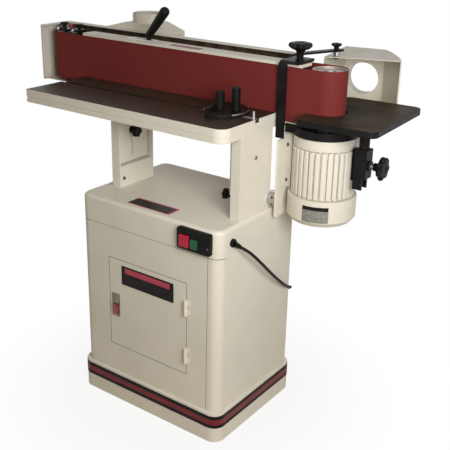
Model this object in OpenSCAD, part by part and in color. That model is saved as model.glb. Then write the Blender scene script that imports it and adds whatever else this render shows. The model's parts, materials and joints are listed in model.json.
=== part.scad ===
// Oscillating edge sander on an enclosed cabinet, in millimetres.
// X runs along the belt, +Y to the back, +Z up, and the origin is on the floor under the base's middle.

/* [Cabinet] */
// Length of the base plinth along the belt
base_len = 538; // [526:2:550]
// Depth of the base plinth from front to back
base_dep = 406; // [400:2:414]
// Height of the cabinet's top above the floor
cab_top = 660; // [630:5:690]
// Width of the front door
door_len = 296; // [270:2:310]
// Height of the front door
door_ht = 291; // [260:1:300]

/* [Columns and main table] */
// Height of the two columns
column_ht = 236; // [226:2:250]
// Length of the main table along the belt
table_len = 742; // [720:2:744]
// Depth of the main table
table_dep = 250; // [235:5:260]
// Height of the main table's apron
table_thick = 40; // [36:1:44]

/* [Sanding head] */
// Width of the sanding belt
belt_width = 152; // [148:1:154]
// Thickness of the sanding belt
belt_thick = 1.2; // [1:0.1:1.4]
// Diameter of the drive drum
drum_dia = 96; // [92:1:98]
// Diameter of the idler drum
idler_dia = 73; // [68:1:76]
// Distance between the two drum axes
drum_spacing = 993; // [985:1:1000]

/* [Motor] */
// Diameter of the motor over its fins
motor_dia = 176; // [168:2:178]
// Number of cooling fins round the motor
fin_count = 32; // [24:4:36]

/* [End table] */
// Length of the end table along the belt
end_len = 232; // [224:2:240]
// Depth of the end table
end_dep = 334; // [326:1:340]
// Thickness of the end table
end_thick = 18; // [14:1:20]

/* [Cord] */
// Diameter of the power cord
cord_dia = 9; // [8:0.5:9]
// Turns in each layer of the put-away coil
coil_turns = 2; // [1:1:2]

/* [Fits] */
// Gap between curved faces that move past each other
gap = 0.3; // [0.2:0.05:0.4]
// Radial clearance of a pin that turns in its bore
running = 0.05; // [0.03:0.01:0.08]

/* [Hidden] */
$fn = 48;

// Sheet metal and cabinet
sheet = 2.5;
base_ht = 95;
base_r = 35;
base_wall = 4;
stripe_proud = 1.2;
stripe_low = 48;
stripe_high = 88;
stripe_edge = 11;
cab_len = base_len - 20;
cab_dep = base_dep - 14;
cab_r = 30;
cab_mid = 3;
cab_front = cab_mid - cab_dep / 2;
cab_back = cab_mid + cab_dep / 2;
cab_side = cab_len / 2;
pan_ht = 81;
pan_round = 12;
seam_z = cab_top - pan_ht;
panel_half = cab_side - 38;
panel_gap = 0.8;
panel_low = base_ht + sheet;
lip = 14;

// Door, latch and switch
door_gap = 1.5;
door_low = seam_z - 99 - door_ht;
door_top = door_low + door_ht;
door_right = door_len / 2;
door_fold = 15;
door_wall = 2;
hinge_x = door_right + door_gap / 2;
hinge_y = cab_front - 6;
hinge_r = 5.5;
hinge_ht = 48;
hinge_mids = [door_low + 64, door_low + 217];
latch_x = [-door_right + 10, -door_right + 39];
latch_z = [door_low + 101, door_low + 176];
latch_plate = 2.5;
paddle_x = [latch_x[0] + 5, latch_x[1] - 5];
paddle_z = [latch_z[0] + 8, latch_z[0] + 40];
switch_x = [cab_side - 135, cab_side - 22];
switch_z = [seam_z + 11, seam_z + 74];
switch_deep = 15;
switch_cut = 4;
switch_face = cab_front - switch_deep;
button_travel = 4;
button_proud = 6;
button_fit = 0.5;
red_x = [cab_side - 124, cab_side - 92];
red_z = [seam_z + 20, seam_z + 55];
green_x = [cab_side - 85, cab_side - 63];
green_z = [seam_z + 22, seam_z + 49];

// Columns and main table
left_col = [-cab_side + 38, -cab_side + 70];
right_col = [cab_side - 40, cab_side - 9];
col_front = -93;
col_back = 60;
col_wall = 6;
table_under = cab_top + column_ht;
table_top = table_under + table_thick;
table_right = right_col[1] + 2;
table_left = table_right - table_len;
table_back = 72;
table_front = table_back - table_dep;
table_round = 36;
table_plate = 14;
table_wall = 10;
table_lift = 75;
slot_y = -23;
slot_wide = 19;
slot_deep = 10;
bracket_thick = 8;
bracket_y = [-86, 50];
bracket_low = cab_top + 69;
recess_deep = 24;
ear_thick = 10;
lock_y = -22;
lock_z = cab_top + 167;
stud_r = 6;
tilt_at = [-38, cab_top + 49];

// Miter gauge
miter_x = table_right - 71;
miter_bar_x = [table_right - 182, table_right - 6];
miter_reach = 54;
miter_pivot = miter_x - miter_reach;
miter_turn = 20;
miter_r = 80;
miter_ht = 25;
miter_thick = 10;
miter_low = table_top + gap;

// Tilting head
pivot_y = col_back;
pivot_z = cab_top + 28;
pivot_r = 12;
boss_r = 20;
ear_r = 22;
arm_left = [left_col[0] - 11, left_col[0] - 3];
arm_right = [right_col[1] + 24, right_col[1] + 32];
belt_face = table_back + 4.5;
belt_low = table_top - 21;
belt_high = belt_low + belt_width;
drive_r = drum_dia / 2;
idler_r = idler_dia / 2;
drive_x = arm_right[1] + motor_dia / 2 + 11;
drive_out = drive_r + gap + belt_thick;
idler_out = idler_r + gap + belt_thick;
drive_y = belt_face + drive_out;
idler_x = drive_x - drum_spacing;
idler_y = belt_face + idler_out;
lean = atan2(drive_y - idler_y, drum_spacing);
platen_face = belt_face + belt_thick + gap;
platen_back = 130;
platen_web = 6;
platen_left = idler_x + 112;
platen_right = drive_x - 59;
platen_low = belt_low - 10;
platen_high = belt_high + 8;
flange = 8;
foot_right = drive_x - 81;

// Belt guard and left dust hood
guard_left = idler_x - 78;
guard_right = drive_x - 146;
guard_back = 198;
guard_front = 66;
guard_lip = 14;
guard_high = belt_high + 17;
guard_floor = platen_low - sheet;
guard_r = 8;
guard_rim = 28;
hood_x = [idler_x + 90, idler_x + 347];
hood_back = 312;
hood_low = belt_low + 15;
hood_shoulder = belt_high + 13;
hood_roof = belt_high + 37;
roof_x = [idler_x + 182, idler_x + 274];
port_r = 51;
port_bore = 48;
port_y = 256;
port_x = idler_x + 238;
port_ht = 30;

// Belt oscillation and tension
rail_x = [idler_x + 142, drive_x - 56];
rail_y = [100, 122];
rail_z = [belt_low + 55, belt_low + 85];
rail_foot = belt_low - 16;
foot_thick = 10.5;
shaft_r = 12;
axle_r = 8;
yoke_x = [idler_x + 62, idler_x + 74];
yoke_y = [98, 131];
yoke_top = belt_high + 2;
yoke_plate = 8;
yoke_low = belt_low - 7;
lever_x = idler_x + 360;
lever_z = platen_high - 30;
lever_y = [108, 118];
lever_pin = 5;
lever_lean = 40;
lever_slot = [lever_x - 66, lever_x + 22];
grip_r = 15.5;
grip_len = 96;

// Work stop
stop_x = [table_right + 5, arm_right[1] - 1];
stop_y = [62, 72];
stop_low = table_under - 28;
stop_plate_x = platen_right - 4;
stop_plate_y = 150;
stop_plate = 8;
stop_base = platen_high + gap;
stop_high = stop_base + stop_plate;
stop_knob_at = [platen_right - 21, platen_face + 22];
stop_travel = 15;
stop_bend = 16;

// Motor under the drive drum
motor_r = motor_dia / 2;
bracket_top = belt_low - 17.5;
bracket_plate = 9.5;
motor_top = bracket_top - bracket_plate;
dish_r = motor_r + 4;
dish_wall = 5;
dish_ht = 14;
bell_ht = 32;
body_ht = 137;
groove_deep = 9;
groove_half = 2.6;
cap_ht = 76;
cap_r = motor_r + 9;
motor_low = motor_top - bell_ht - body_ht - cap_ht;

// End table
end_left = drive_x - 35;
end_front = table_back - 70;
end_top = table_top + 14;
end_round = 24;
end_turn = 3;
end_notch = drive_out + 6.5;
post_at = [drive_x + 126, drive_y - 16];
post_r = 14;
holder_half = 18;
holder_top = motor_top - 16;
holder_low = holder_top - 112;
end_knob_z = motor_top - 60;

// Dust hood behind the end table, in its own frame round the stud
stud_at = [guard_right + 41, guard_back + 152];
hood_turn = 11;
box_left = -26;
box_back = 188;
box_front = [[box_left, -34], [64, -5]];
box_side = [[194, 13], [177, 62], [154, 110], [130, 152], [104, box_back]];
box_low = end_top - 60;
box_top = belt_high - 9;
box_wall = 2.5;
outlet_u = 36;
outlet_z = box_top - 96;
outlet_r = 50;
arm_z = box_top + 14;
arm_wide = 24;
pin_r = 4.5;

// Cord: entry on the cabinet's right side, clip on its back, coil on the floor behind it
cord_r = cord_dia / 2;
grommet_at = [cab_back - 333, seam_z + 36];
// Route points from the cabinet's rear right edge on the floor, for a seam 579 above it
route_points = [
    [18, -319, 602], [25, -311, 595], [31, -289, 577], [33, -261, 552], [32, -214, 509],
    [28, -159, 460], [21, -99, 412], [11, -54, 381], [6, -30, 367], [4, -18, 361],
    [-2, -7, 354], [-12, 1, 346], [-24, 6, 337], [-44, 8, 320], [-68, 9, 296],
    [-86, 9, 266], [-95, 8, 232], [-98, 8, 206],
    [-99, 8, 180], [-99, 8, 150], [-99, 8, 120], [-101, 10, 92], [-105, 17, 62],
    [-111, 32, 36], [-119, 54, 15], [-130, 80, 6], [-137, 100, 5], [-139, 112, 5], [-139, 122, 5]
];
route = [for (p = route_points) [cab_side + p[0], cab_back + p[1], p[2] * seam_z / 579]];
route_split = 2;
cord_sides = 10;
clip_z = 150;
clip_point = 19;
clip_half = 12;
relief_tip = 5.5;
coil_r = 62;
coil_at = [cab_side - 139 - coil_r, cab_back + 131];
coil_step = cord_dia + 0.8;
coil_sides = 6;
loop_rings = 24;
coil_tail = 54;
plug_len = 46;
plug_half = 14;

// Shared shapes

module block(low, high) {
    translate(low) cube(high - low);
}

module rod_x(x, y, z, r) {
    translate([x[0], y, z]) rotate([0, 90, 0]) cylinder(r = r, h = x[1] - x[0]);
}

module rod_y(x, y, z, r) {
    translate([x, y[0], z]) rotate([-90, 0, 0]) cylinder(r = r, h = y[1] - y[0]);
}

module rod_z(x, y, z, r) {
    translate([x, y, z[0]]) cylinder(r = r, h = z[1] - z[0]);
}

module round_box(len, dep, r) {
    square([len - 2 * r, dep], center = true);
    square([len, dep - 2 * r], center = true);
    for (sx = [-1, 1], sy = [-1, 1])
        translate([sx * (len / 2 - r), sy * (dep / 2 - r)]) circle(r);
}

// A slab in the YZ plane, from outline points [y, z]
module side_plate(x, points) {
    translate([x[0], 0, 0]) rotate([90, 0, 90]) linear_extrude(x[1] - x[0]) polygon(points);
}

// A slab in the XZ plane, from outline points [x, z]
module front_plate(y, points) {
    translate([0, y[1], 0]) rotate([90, 0, 0]) linear_extrude(y[1] - y[0]) polygon(points);
}

// Lobed hand knob along +Z from the origin
module star_knob(dia, ht, lobes) {
    steps = lobes * 8;
    linear_extrude(ht) polygon([
        for (i = [0 : steps - 1])
            let (a = (i + 0.5) * 360 / steps)
            dia * (0.43 + 0.07 * cos(lobes * a)) * [cos(a), sin(a)]
    ]);
}

// Base and cabinet

module base_plinth() color("ivory") difference() {
    linear_extrude(base_ht) round_box(base_len, base_dep, base_r);
    // Seams in line with the front panel's edges
    for (x = [-panel_half, panel_half])
        block([x - 0.8, -base_dep / 2 - 1, -1], [x + 0.8, 1.2 - base_dep / 2, base_ht + 1]);
    translate([0, 0, base_wall])
        linear_extrude(base_ht - 2 * base_wall)
            round_box(base_len - 2 * base_wall, base_dep - 2 * base_wall, base_r - base_wall);
    translate([0, cab_mid, base_wall]) linear_extrude(base_ht) round_box(cab_len - 60, cab_dep - 60, cab_r);
}

module stripe(low, high) {
    translate([0, 0, low]) linear_extrude(high - low) difference() {
        round_box(base_len + 2 * stripe_proud, base_dep + 2 * stripe_proud, base_r + stripe_proud);
        round_box(base_len, base_dep, base_r);
    }
}

module stripe_black() color("black") {
    stripe(stripe_low, stripe_low + stripe_edge);
    stripe(stripe_high - stripe_edge, stripe_high);
}

module stripe_red() color("darkred") stripe(stripe_low + stripe_edge, stripe_high - stripe_edge);

module cabinet_shell() color("ivory") {
    difference() {
        translate([0, cab_mid, base_ht])
            linear_extrude(seam_z - base_ht) round_box(cab_len, cab_dep, cab_r);
        translate([0, cab_mid, panel_low])
            linear_extrude(seam_z) round_box(cab_len - 2 * sheet, cab_dep - 2 * sheet, cab_r - sheet);
        block([-panel_half, cab_front - 1, panel_low], [panel_half, cab_front + sheet + 1, seam_z + 1]);
    }
    for (side = [-1, 1])
        translate([side * panel_half, 0, 0])
            block([-lip, cab_front + sheet, panel_low], [lip, cab_front + 2 * sheet, seam_z]);
}

module hinge_rods(low, high) {
    for (mid = hinge_mids)
        rod_z(hinge_x, hinge_y, [mid + low, mid + high], hinge_r);
}

module front_panel() color("ivory") {
    difference() {
        block([-panel_half + panel_gap, cab_front, panel_low],
              [panel_half - panel_gap, cab_front + sheet, seam_z]);
        block([-door_right - door_gap, cab_front - 1, door_low - door_gap],
              [door_right + door_gap, cab_front + sheet + 1, door_top + door_gap]);
    }
    // Fixed knuckles and their leaves beside the door
    difference() {
        union() {
            hinge_rods(-hinge_ht / 2, -hinge_ht / 6 - gap);
            hinge_rods(hinge_ht / 6 + gap, hinge_ht / 2);
            for (mid = hinge_mids, end = [-1, 1])
                translate([0, 0, mid + end * hinge_ht / 3])
                    block([hinge_x, cab_front - 2, -hinge_ht / 7],
                          [hinge_x + 11, cab_front, hinge_ht / 7]);
            for (mid = hinge_mids, end = [-1, 1])
                translate([0, 0, mid + end * hinge_ht / 3])
                    block([hinge_x, hinge_y, -hinge_ht / 7],
                          [hinge_x + hinge_r, cab_front, hinge_ht / 7]);
        }
        block([hinge_x - 10, cab_front + 0, 0], [door_right + door_gap, cab_front + sheet + 1, cab_top]);
    }
    hinge_pins();
}

// Pins that the door's knuckles turn on
module hinge_pins() {
    for (mid = hinge_mids)
        rod_z(hinge_x, hinge_y, [mid - hinge_ht / 3, mid + hinge_ht / 3], 2);
}

module pan_solid(len, dep, r, ht, edge) {
    linear_extrude(ht - edge) round_box(len, dep, r);
    linear_extrude(ht) round_box(len - 2 * edge, dep - 2 * edge, r - edge);
    for (sy = [-1, 1])
        rod_x([-len / 2 + r, len / 2 - r], sy * (dep / 2 - edge), ht - edge, edge);
    for (sx = [-1, 1])
        rod_y(sx * (len / 2 - edge), [-dep / 2 + r, dep / 2 - r], ht - edge, edge);
    for (sx = [-1, 1], sy = [-1, 1])
        translate([sx * (len / 2 - r), sy * (dep / 2 - r), ht - edge])
            rotate_extrude() translate([r - edge, 0]) circle(edge);
}

module cabinet_top() color("ivory") translate([0, cab_mid, seam_z]) difference() {
    pan_solid(cab_len, cab_dep, cab_r, pan_ht, pan_round);
    translate([0, 0, -1])
        linear_extrude(pan_ht - pan_round)
            round_box(cab_len - 2 * sheet, cab_dep - 2 * sheet, cab_r - sheet);
    linear_extrude(pan_ht - sheet)
        round_box(cab_len - 2 * pan_round, cab_dep - 2 * pan_round, cab_r - pan_round);
}

// Door, latch and switch

module door_panel() color("ivory") {
    difference() {
        block([-door_right, cab_front, door_low], [door_right, cab_front + door_fold, door_top]);
        block([-door_right + door_wall, cab_front + door_wall, door_low + door_wall],
              [door_right - door_wall, cab_front + door_fold + 1, door_top - door_wall]);
    }
    difference() {
        union() {
            hinge_rods(-hinge_ht / 6, hinge_ht / 6);
            for (mid = hinge_mids)
                translate([0, 0, mid])
                    block([hinge_x - hinge_r, hinge_y, -hinge_ht / 6], [hinge_x, cab_front, hinge_ht / 6]);
            for (mid = hinge_mids)
                translate([0, 0, mid])
                    block([door_right - 14, cab_front - 2, -hinge_ht / 6],
                          [door_right, cab_front, hinge_ht / 6]);
        }
        for (mid = hinge_mids)
            rod_z(hinge_x, hinge_y, [mid - hinge_ht, mid + hinge_ht], 2 + running);
    }
}

module latch_frame() color("silver") difference() {
    block([latch_x[0], cab_front - latch_plate, latch_z[0]], [latch_x[1], cab_front, latch_z[1]]);
    block([paddle_x[0] - gap, cab_front - latch_plate - 1, paddle_z[0] - gap],
          [paddle_x[1] + gap, cab_front - latch_plate + 1, paddle_z[1] + gap]);
}

module latch_paddle() color("red") {
    face = cab_front - latch_plate;
    block([paddle_x[0], face - 4, paddle_z[0]], [paddle_x[1], face + 1 - gap, paddle_z[1] - 6]);
    rod_x(paddle_x, face - 3, paddle_z[1] - 3, 3);
    block([paddle_x[0], face - 6, paddle_z[1] - 6], [paddle_x[1], face, paddle_z[1] - 3]);
}

module chamfer_box(x, z, cut) {
    polygon([
        [x[0] + cut, z[0]], [x[1] - cut, z[0]], [x[1], z[0] + cut], [x[1], z[1] - cut],
        [x[1] - cut, z[1]], [x[0] + cut, z[1]], [x[0], z[1] - cut], [x[0], z[0] + cut]
    ]);
}

module switch_housing() color("dimgray") difference() {
    translate([0, cab_front, 0]) rotate([90, 0, 0]) linear_extrude(switch_deep)
        chamfer_box(switch_x, switch_z, switch_cut);
    for (at = [[red_x, red_z], [green_x, green_z]])
        block([at[0][0] - button_fit, switch_face - 1, at[1][0] - button_fit],
              [at[0][1] + button_fit, cab_front - sheet, at[1][1] + button_fit]);
}

module push_button(x, z) {
    back = cab_front - sheet - button_travel - gap;
    block([x[0], switch_face - button_proud, z[0]], [x[1], back, z[1]]);
}

module stop_button() color("red") push_button(red_x, red_z);

module start_button() color("green") push_button(green_x, green_z);

// Columns and their pivots

module column(x, ear_x) difference() {
    union() {
        block([x[0], col_front, cab_top], [x[1], col_back, table_under - gap]);
        rod_x(ear_x, pivot_y, pivot_z, ear_r);
    }
    rod_x([x[0] - 1, x[1] + 1], lock_y, lock_z, stud_r + running);
}

module left_column() color("ivory") difference() {
    column(left_col, [left_col[0], left_col[0] + ear_thick]);
    // Recess that the table's bracket slides in
    block([left_col[1] - recess_deep, bracket_y[0] - 2, bracket_low - 3],
          [left_col[1] + 1, bracket_y[1] + 4, table_under + 1]);
}

module right_column() color("ivory") difference() {
    column(right_col, right_col);
    rod_x([right_col[0] - 1, right_col[0] + 20], tilt_at[0], tilt_at[1], stud_r + running);
    for (y = [[col_front + col_wall, lock_y - 14], [lock_y + 14, pivot_y - ear_r - 4]])
        block([right_col[0] + col_wall, y[0], pivot_z + 40],
              [right_col[1] - col_wall, y[1], table_under - col_wall]);
}

module left_pivot() color("silver") {
    rod_x([arm_left[1] + gap, left_col[0]], pivot_y, pivot_z, boss_r);
    rod_x([arm_left[0] - 8, left_col[0]], pivot_y, pivot_z, pivot_r);
    rod_x([arm_left[0] - 8, arm_left[0] - gap], pivot_y, pivot_z, boss_r);
}

module right_pivot() color("ivory") {
    rod_x([right_col[1], arm_right[0] - gap], pivot_y, pivot_z, boss_r);
    rod_x([right_col[1], arm_right[1] + 1.5], pivot_y, pivot_z, pivot_r);
    rod_x([arm_right[1] + gap, arm_right[1] + 1.7], pivot_y, pivot_z, boss_r - 4);
}

// Main table with its sliding brackets and lock knobs

module table_outline(inset) {
    low = [table_left + inset, table_front + inset];
    high = [table_right - inset, table_back - inset];
    r = table_round - inset;
    translate(low) square([high[0] - low[0] - r, high[1] - low[1]]);
    translate([low[0], low[1] + r]) square([high[0] - low[0], high[1] - low[1] - r]);
    translate([high[0] - r, low[1] + r]) circle(r);
}

module main_table() color("saddlebrown") difference() {
    translate([0, 0, table_under]) linear_extrude(table_thick) table_outline(0);
    difference() {
        translate([0, 0, table_under - 1])
            linear_extrude(table_thick - table_plate + 1) table_outline(table_wall);
        block([table_left, slot_y - slot_wide, table_under + 12],
              [table_right, slot_y + slot_wide, table_top]);
    }
    block([table_left - 1, slot_y - slot_wide / 2, table_top - slot_deep],
          [table_right + 1, slot_y + slot_wide / 2, table_top + 1]);
    translate([0, 0, table_under + table_thick / 3]) linear_extrude(3) difference() {
        table_outline(-1);
        table_outline(1.5);
    }
}

module bracket(x) difference() {
    block([x[0], bracket_y[0], bracket_low], [x[1], bracket_y[1], table_under + 12]);
    for (z = [lock_z, lock_z - table_lift])
        rod_x([x[0] - 1, x[1] + 1], lock_y, z, stud_r + 1);
    block([x[0] - 1, lock_y - stud_r - 1, lock_z - table_lift],
          [x[1] + 1, lock_y + stud_r + 1, lock_z]);
    // Notch that clears the table's long rib
    block([x[0] - 1, slot_y + slot_wide, table_under + 12], [x[1] + 1, bracket_y[1] + 1, table_top]);
}

module left_bracket() color("gray") {
    face = left_col[1] - recess_deep + gap;
    x = [face, face + bracket_thick];
    bracket(x);
    bracket_heads(x);
}

module right_bracket() color("gray") {
    x = [right_col[0] - gap - bracket_thick, right_col[0] - gap];
    bracket(x);
    bracket_heads(x);
}

// Upper ends of a bracket, on both sides of the table's long rib
module bracket_heads(x) {
    top = table_top - table_plate;
    block([x[0], bracket_y[0], table_under + 12], [x[1], slot_y - slot_wide - gap, top]);
    block([x[0], slot_y + slot_wide + gap, table_under + 12], [x[1], bracket_y[1], top]);
}

module lock_knob(x_face, turn, reach) {
    translate([x_face, lock_y, lock_z]) rotate([0, turn, 0]) {
        translate([0, 0, -reach]) cylinder(r = stud_r, h = reach + 4);
        translate([0, 0, gap]) cylinder(r = 11, h = 12);
        translate([0, 0, 12]) star_knob(42, 16, 6);
    }
}

module left_lock_knob() color("black")
    lock_knob(left_col[1] - recess_deep + gap + bracket_thick, 90, bracket_thick + 6);

module right_lock_knob() color("black")
    lock_knob(right_col[0] - gap - bracket_thick, -90, bracket_thick + 34);

module tilt_knob() color("black") translate([right_col[0], tilt_at[0], tilt_at[1]]) rotate([0, -90, 0]) {
    translate([0, 0, -18]) cylinder(r = stud_r, h = 66);
    translate([0, 0, 44]) star_knob(34, 16, 6);
    translate([0, 0, 36]) cylinder(r = 9, h = 8);
}

// Miter gauge in the table's slot

module miter_bar() color("silver") difference() {
    union() {
        block([miter_bar_x[0], slot_y - slot_wide / 2 + gap, table_top - slot_deep + gap],
              [miter_bar_x[1], slot_y + slot_wide / 2 - gap, table_top - gap]);
        rod_z(miter_bar_x[1] - 6, slot_y, [table_top - 1, table_top + 20], 4);
        rod_z(miter_pivot, slot_y, [table_top - 1, miter_low + miter_ht - 1], 5);
    }
    rod_z(miter_x, slot_y, [table_top - slot_deep, table_top + 1], 5 + running);
}

module miter_head() color("black") translate([miter_pivot, slot_y, 0]) rotate(miter_turn) difference() {
    union() {
        // Half disc that carries the angle scale
        intersection() {
            rod_z(0, 0, [miter_low, miter_low + miter_thick], miter_r);
            block([-12, -miter_r, table_top], [miter_r + 1, miter_r, table_top + miter_ht]);
        }
        // Fence along its straight side
        block([-20, 2 - miter_r, miter_low], [-8, miter_r - 2, miter_low + miter_ht]);
        rod_z(0, 0, [miter_low, miter_low + 57], 13);
    }
    rod_z(0, 0, [table_top, miter_low + miter_ht], 5 + running);
    // Curved slot that the clamp's stud passes through
    intersection() {
        difference() {
            rod_z(0, 0, [table_top, table_top + miter_ht], miter_reach + 5 + gap);
            rod_z(0, 0, [table_top - 1, table_top + miter_ht + 1], miter_reach - 5 - gap);
        }
        translate([0, 0, table_top]) linear_extrude(miter_ht)
            polygon([[0, 0], [60, -77], [120, -77], [120, 77], [60, 77]]);
    }
}

module miter_handle() color("black") {
    rod_z(miter_x, slot_y, [table_top - slot_deep + 2, miter_low + miter_thick + 8], 5);
    rod_z(miter_x, slot_y, [miter_low + miter_thick + gap, table_top + 77], 12);
}

// Tilting head

module platen() color("ivory") {
    difference() {
        union() {
            block([platen_left, platen_face, platen_low],
                  [platen_right, platen_face + platen_web, platen_high]);
            block([platen_left, platen_face, platen_high - flange], [platen_right, platen_back, platen_high]);
            block([platen_left, platen_face, platen_low], [foot_right, platen_back, platen_low + flange]);
            // Pads that guide the oscillating rail
            for (x = [platen_left + 140, platen_right - 262])
                block([x, platen_face, rail_z[0] - 8], [x + 60, rail_y[0] - gap, rail_z[1] + 8]);
        }
        block([lever_slot[0], lever_y[0] - 3, platen_high - flange - 1],
              [lever_slot[1], lever_y[1] + 3, platen_high + 1]);
    }
    rod_y(lever_x, [platen_face + 1, lever_y[1] + 6], lever_z, lever_pin);
}

module guard_outline(inset) {
    len = foot_right - guard_left;
    dep = guard_back - guard_front;
    translate([guard_left + len / 2, guard_front + dep / 2])
        round_box(len - 2 * inset, dep - 2 * inset, guard_r - inset);
}

module belt_guard() color("ivory") {
    difference() {
        translate([0, 0, guard_floor]) linear_extrude(guard_high - guard_floor) difference() {
            guard_outline(0);
            guard_outline(sheet);
        }
        block([guard_left + guard_lip, guard_front - 1, guard_floor - 1],
              [foot_right + 1, guard_back - sheet, guard_high + 1]);
        block([guard_right, guard_front, guard_floor - 1], [foot_right + 1, guard_back + 1, guard_high + 1]);
        // Window into the dust hood
        block([hood_x[0] + 15, guard_back - sheet - 1, hood_low + 12],
              [hood_x[1] - 15, guard_back + 1, belt_high - 8]);
    }
    // Rim turned in along the left and back walls
    translate([0, 0, guard_high - sheet]) linear_extrude(sheet) intersection() {
        guard_outline(0);
        union() {
            translate([guard_left, guard_front]) square([guard_rim, guard_back - guard_front]);
            translate([guard_left, guard_back - guard_rim]) square([guard_right - guard_left, guard_rim]);
        }
    }
    block([guard_left + guard_lip, platen_face, guard_floor],
          [foot_right, platen_back + 12, platen_low]);
    block([guard_left + guard_lip, platen_back, guard_floor], [guard_right, guard_back - sheet, platen_low]);
    intersection() {
        translate([0, 0, guard_floor]) linear_extrude(sheet) guard_outline(0);
        block([guard_left, guard_front, guard_floor], [guard_left + guard_lip, guard_back, platen_low]);
    }
}

function hood_points(inset) = [
    [hood_x[0] + inset, hood_low + inset], [hood_x[1] - inset, hood_low + inset],
    [hood_x[1] - inset, hood_shoulder - inset / 2], [roof_x[1] - inset / 2, hood_roof - inset],
    [roof_x[0] + inset / 2, hood_roof - inset], [hood_x[0] + inset, hood_shoulder - inset / 2]
];

module left_hood() color("ivory") difference() {
    union() {
        difference() {
            front_plate([guard_back, hood_back], hood_points(0));
            front_plate([guard_back - 1, hood_back - sheet], hood_points(sheet));
        }
        // Front wall above the window
        intersection() {
            front_plate([guard_back, guard_back + sheet], hood_points(0));
            block([hood_x[0], guard_back, belt_high - 8], [hood_x[1], hood_back, hood_roof]);
        }
        rod_z(port_x, port_y, [hood_roof - sheet, hood_roof + port_ht], port_r);
    }
    rod_z(port_x, port_y, [hood_roof - 3 * sheet, hood_roof + port_ht + 1], port_bore);
}

module left_arm() color("ivory") difference() {
    side_plate(arm_left, [
        [pivot_y - 20, pivot_z - 12], [pivot_y - 12, pivot_z - 24], [pivot_y + 12, pivot_z - 24],
        [pivot_y + 22, pivot_z - 14], [pivot_y + 22, table_under - 80], [platen_back + 20, guard_floor - 8],
        [platen_back + 20, guard_floor], [platen_face + 6, guard_floor],
        [platen_face + 6, table_under - 12], [pivot_y - 20, table_under - 90]
    ]);
    rod_x([arm_left[0] - 1, arm_left[1] + 1], pivot_y, pivot_z, pivot_r + running);
}

module motor_plate() color("ivory") difference() {
    union() {
        side_plate(arm_right, [
            [pivot_y - 15, motor_low - 3], [platen_face + 32, motor_low - 3],
            [drive_y + 50, motor_low + 120], [drive_y + 50, bracket_top],
            [platen_back + 20, guard_floor], [platen_face + 6, guard_floor],
            [platen_face + 6, stop_low - 1.5], [pivot_y - 15, stop_low - 1.5]
        ]);
        block([arm_right[1], platen_face + 14, motor_low + cap_ht + 2],
              [arm_right[1] + 13, platen_face + 22, motor_top - 6]);
    }
    rod_x([arm_right[0] - 1, arm_right[1] + 1], pivot_y, pivot_z, pivot_r + running);
}

// Motor hung from its bracket

module motor_bracket() color("dimgray") {
    difference() {
        union() {
            rod_z(drive_x, drive_y, [motor_top, bracket_top + dish_ht], dish_r);
            block([arm_right[1], drive_y - 45, motor_top], [drive_x - 60, drive_y + 45, bracket_top]);
        }
        rod_z(drive_x, drive_y, [bracket_top, bracket_top + dish_ht + 1], dish_r - dish_wall);
        rod_z(drive_x, drive_y, [motor_top - 1, bracket_top + 1], 31);
        // Open to the left for the belt's guard and rail
        block([arm_right[0], drive_y - dish_r, bracket_top],
              [platen_right + 3, drive_y + dish_r, bracket_top + dish_ht + 1]);
    }
    // Lip in front of the belt's lower edge
    block([arm_right[1] + 2, belt_face - 9, motor_top], [drive_x - 40, belt_face - 1.5, belt_low - 3]);
}

module motor_bell() color("ivory") difference() {
    rod_z(drive_x, drive_y, [motor_top - bell_ht, motor_top], motor_r);
    rod_z(drive_x, drive_y, [motor_top - bell_ht + 4, motor_top + 1], shaft_r + running);
}

// Outline of the ribbed body: each rib is three points on the outer circle and two in the groove after it
function rib_points() =
    let (pitch = 360 / fin_count)
    let (side = asin(groove_half / motor_r))
    let (floor = asin(groove_half / (motor_r - groove_deep)))
    [for (i = [0 : fin_count - 1], p = [
        [side, motor_r], [pitch / 2, motor_r], [pitch - side, motor_r],
        [pitch - floor, motor_r - groove_deep], [pitch + floor, motor_r - groove_deep]
    ]) p[1] * [cos(i * pitch + p[0]), sin(i * pitch + p[0])]];

module motor_body() color("ivory") {
    low = motor_top - bell_ht - body_ht;
    translate([drive_x, drive_y, low]) linear_extrude(body_ht) polygon(rib_points());
    // Foot pad against the motor plate
    block([arm_right[1], drive_y - 22, low + 20], [drive_x - motor_r + 20, drive_y + 22, low + body_ht - 12]);
}

module motor_cap() color("ivory") difference() {
    union() {
        rod_z(drive_x, drive_y, [motor_low + 14, motor_low + cap_ht], cap_r);
        translate([drive_x, drive_y, motor_low]) cylinder(r1 = cap_r - 12, r2 = cap_r, h = 14);
    }
    rod_z(drive_x, drive_y, [motor_low + 16, motor_low + cap_ht - sheet], cap_r - sheet);
    rod_z(drive_x, drive_y, [motor_low + 16, motor_low + cap_ht + 1], motor_r - 20);
}

module terminal_box() color("ivory") {
    back = drive_y + motor_r;
    difference() {
        block([drive_x - 44, back - 14, motor_top - 120], [drive_x + 44, back + 42, motor_top - 30]);
        rod_z(drive_x, drive_y, [motor_top - 121, motor_top - 29], motor_r + gap);
    }
    rod_z(drive_x + 20, back + 22, [motor_top - 136, motor_top - 120], 11);
}

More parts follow.
